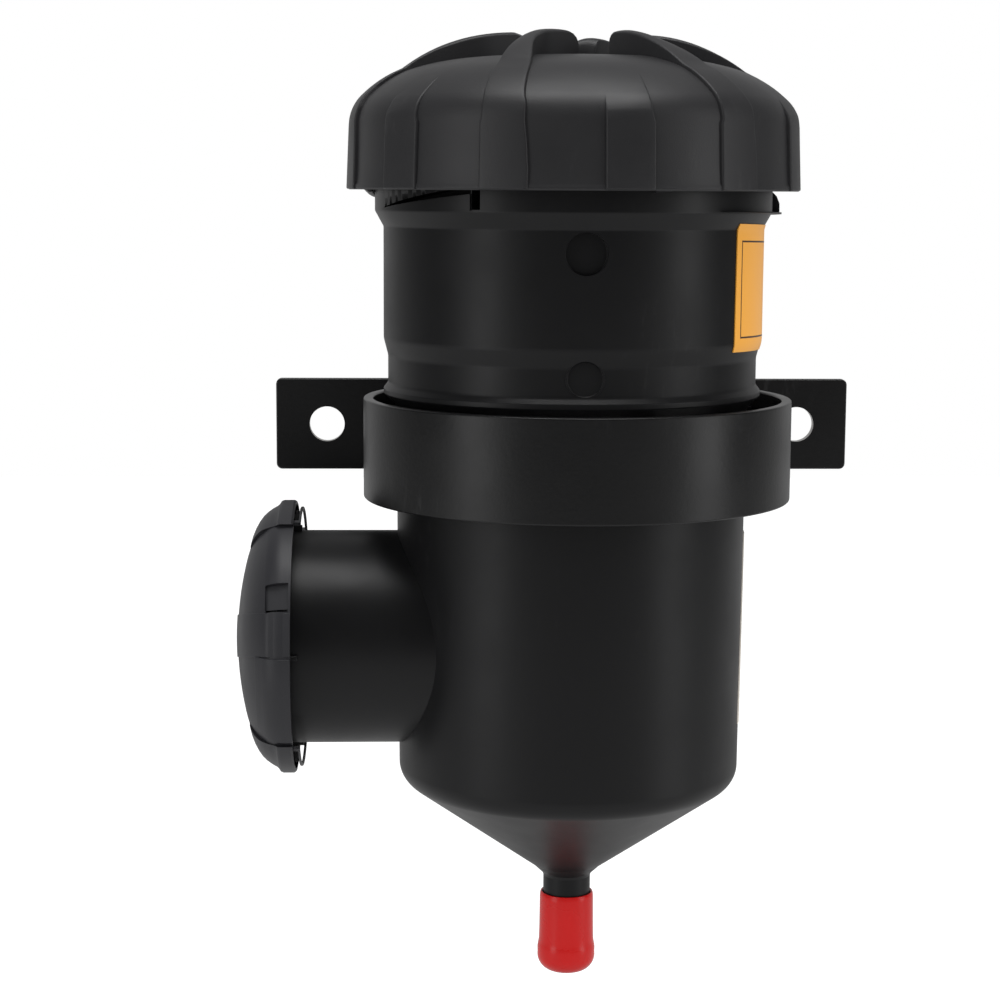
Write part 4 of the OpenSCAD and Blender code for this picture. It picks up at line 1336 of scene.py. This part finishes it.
@dataclass
class DrainCap:
    """The red dipped cap on the drain stub."""

    rim: float = -187.06
    tip: float = -205.56
    end: float = 3.4
    bore_r: float = 6.35
    wall: float = 0.75
    bulge_r: float = 7.75

    def build(self, finishes: Finishes) -> Object:
        """Builds the cap.

        Args:
            finishes: The materials.

        Returns:
            Its object.
        """
        foot = self.tip - self.end
        outer = [(6.75, self.rim), (6.95, self.rim - 0.12), (7.12, self.rim - 0.55),
                 (7.2, self.rim - 1.5), (7.22, self.rim - 5.0), (7.28, self.rim - 10.0),
                 (7.36, self.rim - 13.4), (7.6, self.rim - 14.6), (self.bulge_r, self.rim - 15.6)]
        outer += arc((self.bulge_r - 4.3, foot + 4.3), 4.3, 8.0, -78.0, 10)
        outer += [(2.2, foot + 0.02), (0.0, foot)]
        inner = [(0.0, self.tip - 0.3), (self.bore_r, self.tip - 0.3), (self.bore_r, self.rim - 0.5),
                 (6.5, self.rim - 0.1)]
        piece = Moulding("drain_stub_cap")
        piece.ring(inner + outer, closed=False, steps=96)
        return piece.finish([finishes.cap], Body.DRAIN_PLUG, ["drain_cap"])


def dress_nodes(finishes: Finishes) -> None:
    """Gives each CAD node that stays its material.

    Args:
        finishes: The materials.
    """
    dress = (
        (finishes.rubber, ("lid_seal", "element_seal", "regulator_diaphragm", "bypass_facing")),
        (finishes.fleece, ("element_media",)),
        (finishes.plate, ("element_top_plate", "element_core", "element_bottom_plate", "bypass_cage")),
        (finishes.natural, ("regulator_plate", "regulator_valve_disc", "regulator_spring_seat",
                            "bypass_disc")),
        (finishes.spring, ("regulator_spring", "bypass_spring")),
    )
    for material, names in dress:
        for name in names:
            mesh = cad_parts[name].data
            mesh.materials.clear()
            mesh.materials.append(material)
            log.info("%s: %s", name, material.name)


# ---- studio -------------------------------------------------------------------------------


@dataclass(frozen=True)
class SoftBox:
    """A soft lamp that faces the can."""

    name: str
    azimuth: float
    elevation: float
    distance: float
    width: float
    height: float
    watts: float


@dataclass
class Studio:
    """A white studio with soft lamps, and a camera at the photograph's viewing angle."""

    focal_px: float = 2230.0
    distance: float = 582.0
    aside: float = -18.5
    azimuth: float = -2.2
    tilt: float = 7.91
    roll: float = 0.3
    floor_drop: float = 260.0
    ambient: float = 0.88
    dim_level: float = 0.02
    dim_until: float = 0.1
    back_level: float = 0.5
    floor_shine: float = 0.1
    floor_glow: float = 0.75
    frame_px: float = 1000.0
    sensor: float = 36.0
    lamps: tuple[SoftBox, ...] = (
        SoftBox("left_box", -57.0, 8.0, 0.95, 0.36, 0.9, 1.65),
        SoftBox("right_box", 66.0, 8.0, 0.95, 0.34, 0.9, 1.7),
        SoftBox("top_box", 0.0, 80.0, 1.0, 0.8, 0.5, 6.6),
    )

    def build(self) -> None:
        """Makes the camera, the floor, the lamps and the world."""
        self.add_camera()
        self.add_floor()
        for lamp in self.lamps:
            self.add_lamp(lamp)
        self.add_world()
        bpy.context.scene.view_settings.view_transform = "Standard"

    def add_camera(self) -> None:
        """Makes the camera."""
        turn, tilt = math.radians(self.azimuth), math.radians(self.tilt)
        right = Vector((math.cos(turn), math.sin(turn), 0.0))
        level = Vector((-math.sin(turn), math.cos(turn), 0.0))
        ahead = level * math.cos(tilt) - Vector((0.0, 0.0, 1.0)) * math.sin(tilt)
        above = right.cross(ahead)
        facing = Matrix((right, above, -ahead)).transposed()
        camera = bpy.data.cameras.new("photo_camera")
        camera.sensor_width = self.sensor
        camera.lens = self.sensor * self.focal_px / self.frame_px
        camera.clip_start, camera.clip_end = 0.05, 20.0
        thing = add_object("photo_camera", camera)
        place = Vector((AXIS_X, AXIS_Y, EDGE_Z)) - level * self.distance + right * self.aside
        thing.matrix_world = Matrix.Translation(place * MM) @ facing.to_4x4() @ turned(self.roll)
        bpy.context.scene.camera = thing

    def backdrop_ray(self, nodes: Sockets) -> NodeSocket:
        """Returns how much of the white background a ray shows."""
        path = nodes.add("ShaderNodeLightPath").outputs
        shine = nodes.math("MULTIPLY", path["Is Glossy Ray"], self.floor_shine)
        seen = nodes.math("MAXIMUM", path["Is Camera Ray"], shine)
        return nodes.math("MAXIMUM", seen, path["Is Transmission Ray"])

    def add_floor(self) -> None:
        """Makes the pale floor."""
        bm = bmesh.new()
        bmesh.ops.create_grid(bm, x_segments=1, y_segments=1, size=3.0)
        low = CAD_BOX[0].z - self.floor_drop * MM
        bmesh.ops.translate(bm, vec=(0.0, 0.0, low), verts=bm.verts[:])
        mesh = bpy.data.meshes.new("floor")
        bm.to_mesh(mesh)
        bm.free()
        material = bpy.data.materials.new("floor_white")
        material.use_nodes = True
        shader = material.node_tree.nodes["Principled BSDF"]
        set_inputs(shader, {"Base Color": (0.45, 0.45, 0.45, 1.0), "Roughness": 0.9,
                            "Specular IOR Level": 0.1, "Emission Color": (1.0, 1.0, 1.0, 1.0)})
        nodes = Sockets(material.node_tree)
        glow = nodes.math("MULTIPLY", self.backdrop_ray(nodes), self.floor_glow)
        material.node_tree.links.new(glow, shader.inputs["Emission Strength"])
        mesh.materials.append(material)
        add_object("floor", mesh)

    def add_lamp(self, lamp: SoftBox) -> None:
        """Makes one lamp.

        Args:
            lamp: What it is and where it stands.
        """
        light = bpy.data.lights.new(lamp.name, "AREA")
        light.shape, light.size, light.size_y = "RECTANGLE", lamp.width, lamp.height
        light.energy = lamp.watts
        thing = add_object(lamp.name, light)
        rise = math.radians(lamp.elevation)
        back = around(lamp.azimuth, math.cos(rise), math.sin(rise))
        target = Vector((0.0, AXIS_Y, -10.0)) * MM
        thing.location = target + back * lamp.distance
        thing.rotation_euler = (-back).to_track_quat("-Z", "Y").to_euler()

    def add_world(self) -> None:
        """Makes a world that is white behind the can and dim in front of it."""
        world = bpy.data.worlds.new("studio")
        bpy.context.scene.world = world
        world.use_nodes = True
        nodes = Sockets(world.node_tree)
        background = world.node_tree.nodes["Background"]
        direction = nodes.add("ShaderNodeTexCoord").outputs["Generated"]
        split = nodes.add("ShaderNodeSeparateXYZ", {0: direction}).outputs
        depth = nodes.ramp(split["Y"], (self.dim_until, 1.0), (self.dim_level, self.back_level),
                           "SMOOTHSTEP")
        path = nodes.add("ShaderNodeLightPath").outputs
        glossy = nodes.math("MAXIMUM", path["Is Glossy Ray"], path["Is Transmission Ray"])
        beyond = nodes.math("SUBTRACT", depth, self.ambient)
        indirect = nodes.math("ADD", self.ambient, nodes.math("MULTIPLY", glossy, beyond))
        strength = nodes.math("MAXIMUM", path["Is Camera Ray"], indirect)
        world.node_tree.links.new(strength, background.inputs["Strength"])
        background.inputs["Color"].default_value = (1.0, 1.0, 1.0, 1.0)


def main() -> None:
    """Builds the catch can and its studio."""
    logging.basicConfig(level=logging.INFO, format="%(message)s")
    finishes = Finishes()
    for part in (Housing(), ScrewLid(), RegulatorCover(), RingBracket(), DrainCap(), WallLabels()):
        part.build(finishes)
    dress_nodes(finishes)
    Studio().build()


if __name__ == "__main__":
    main()
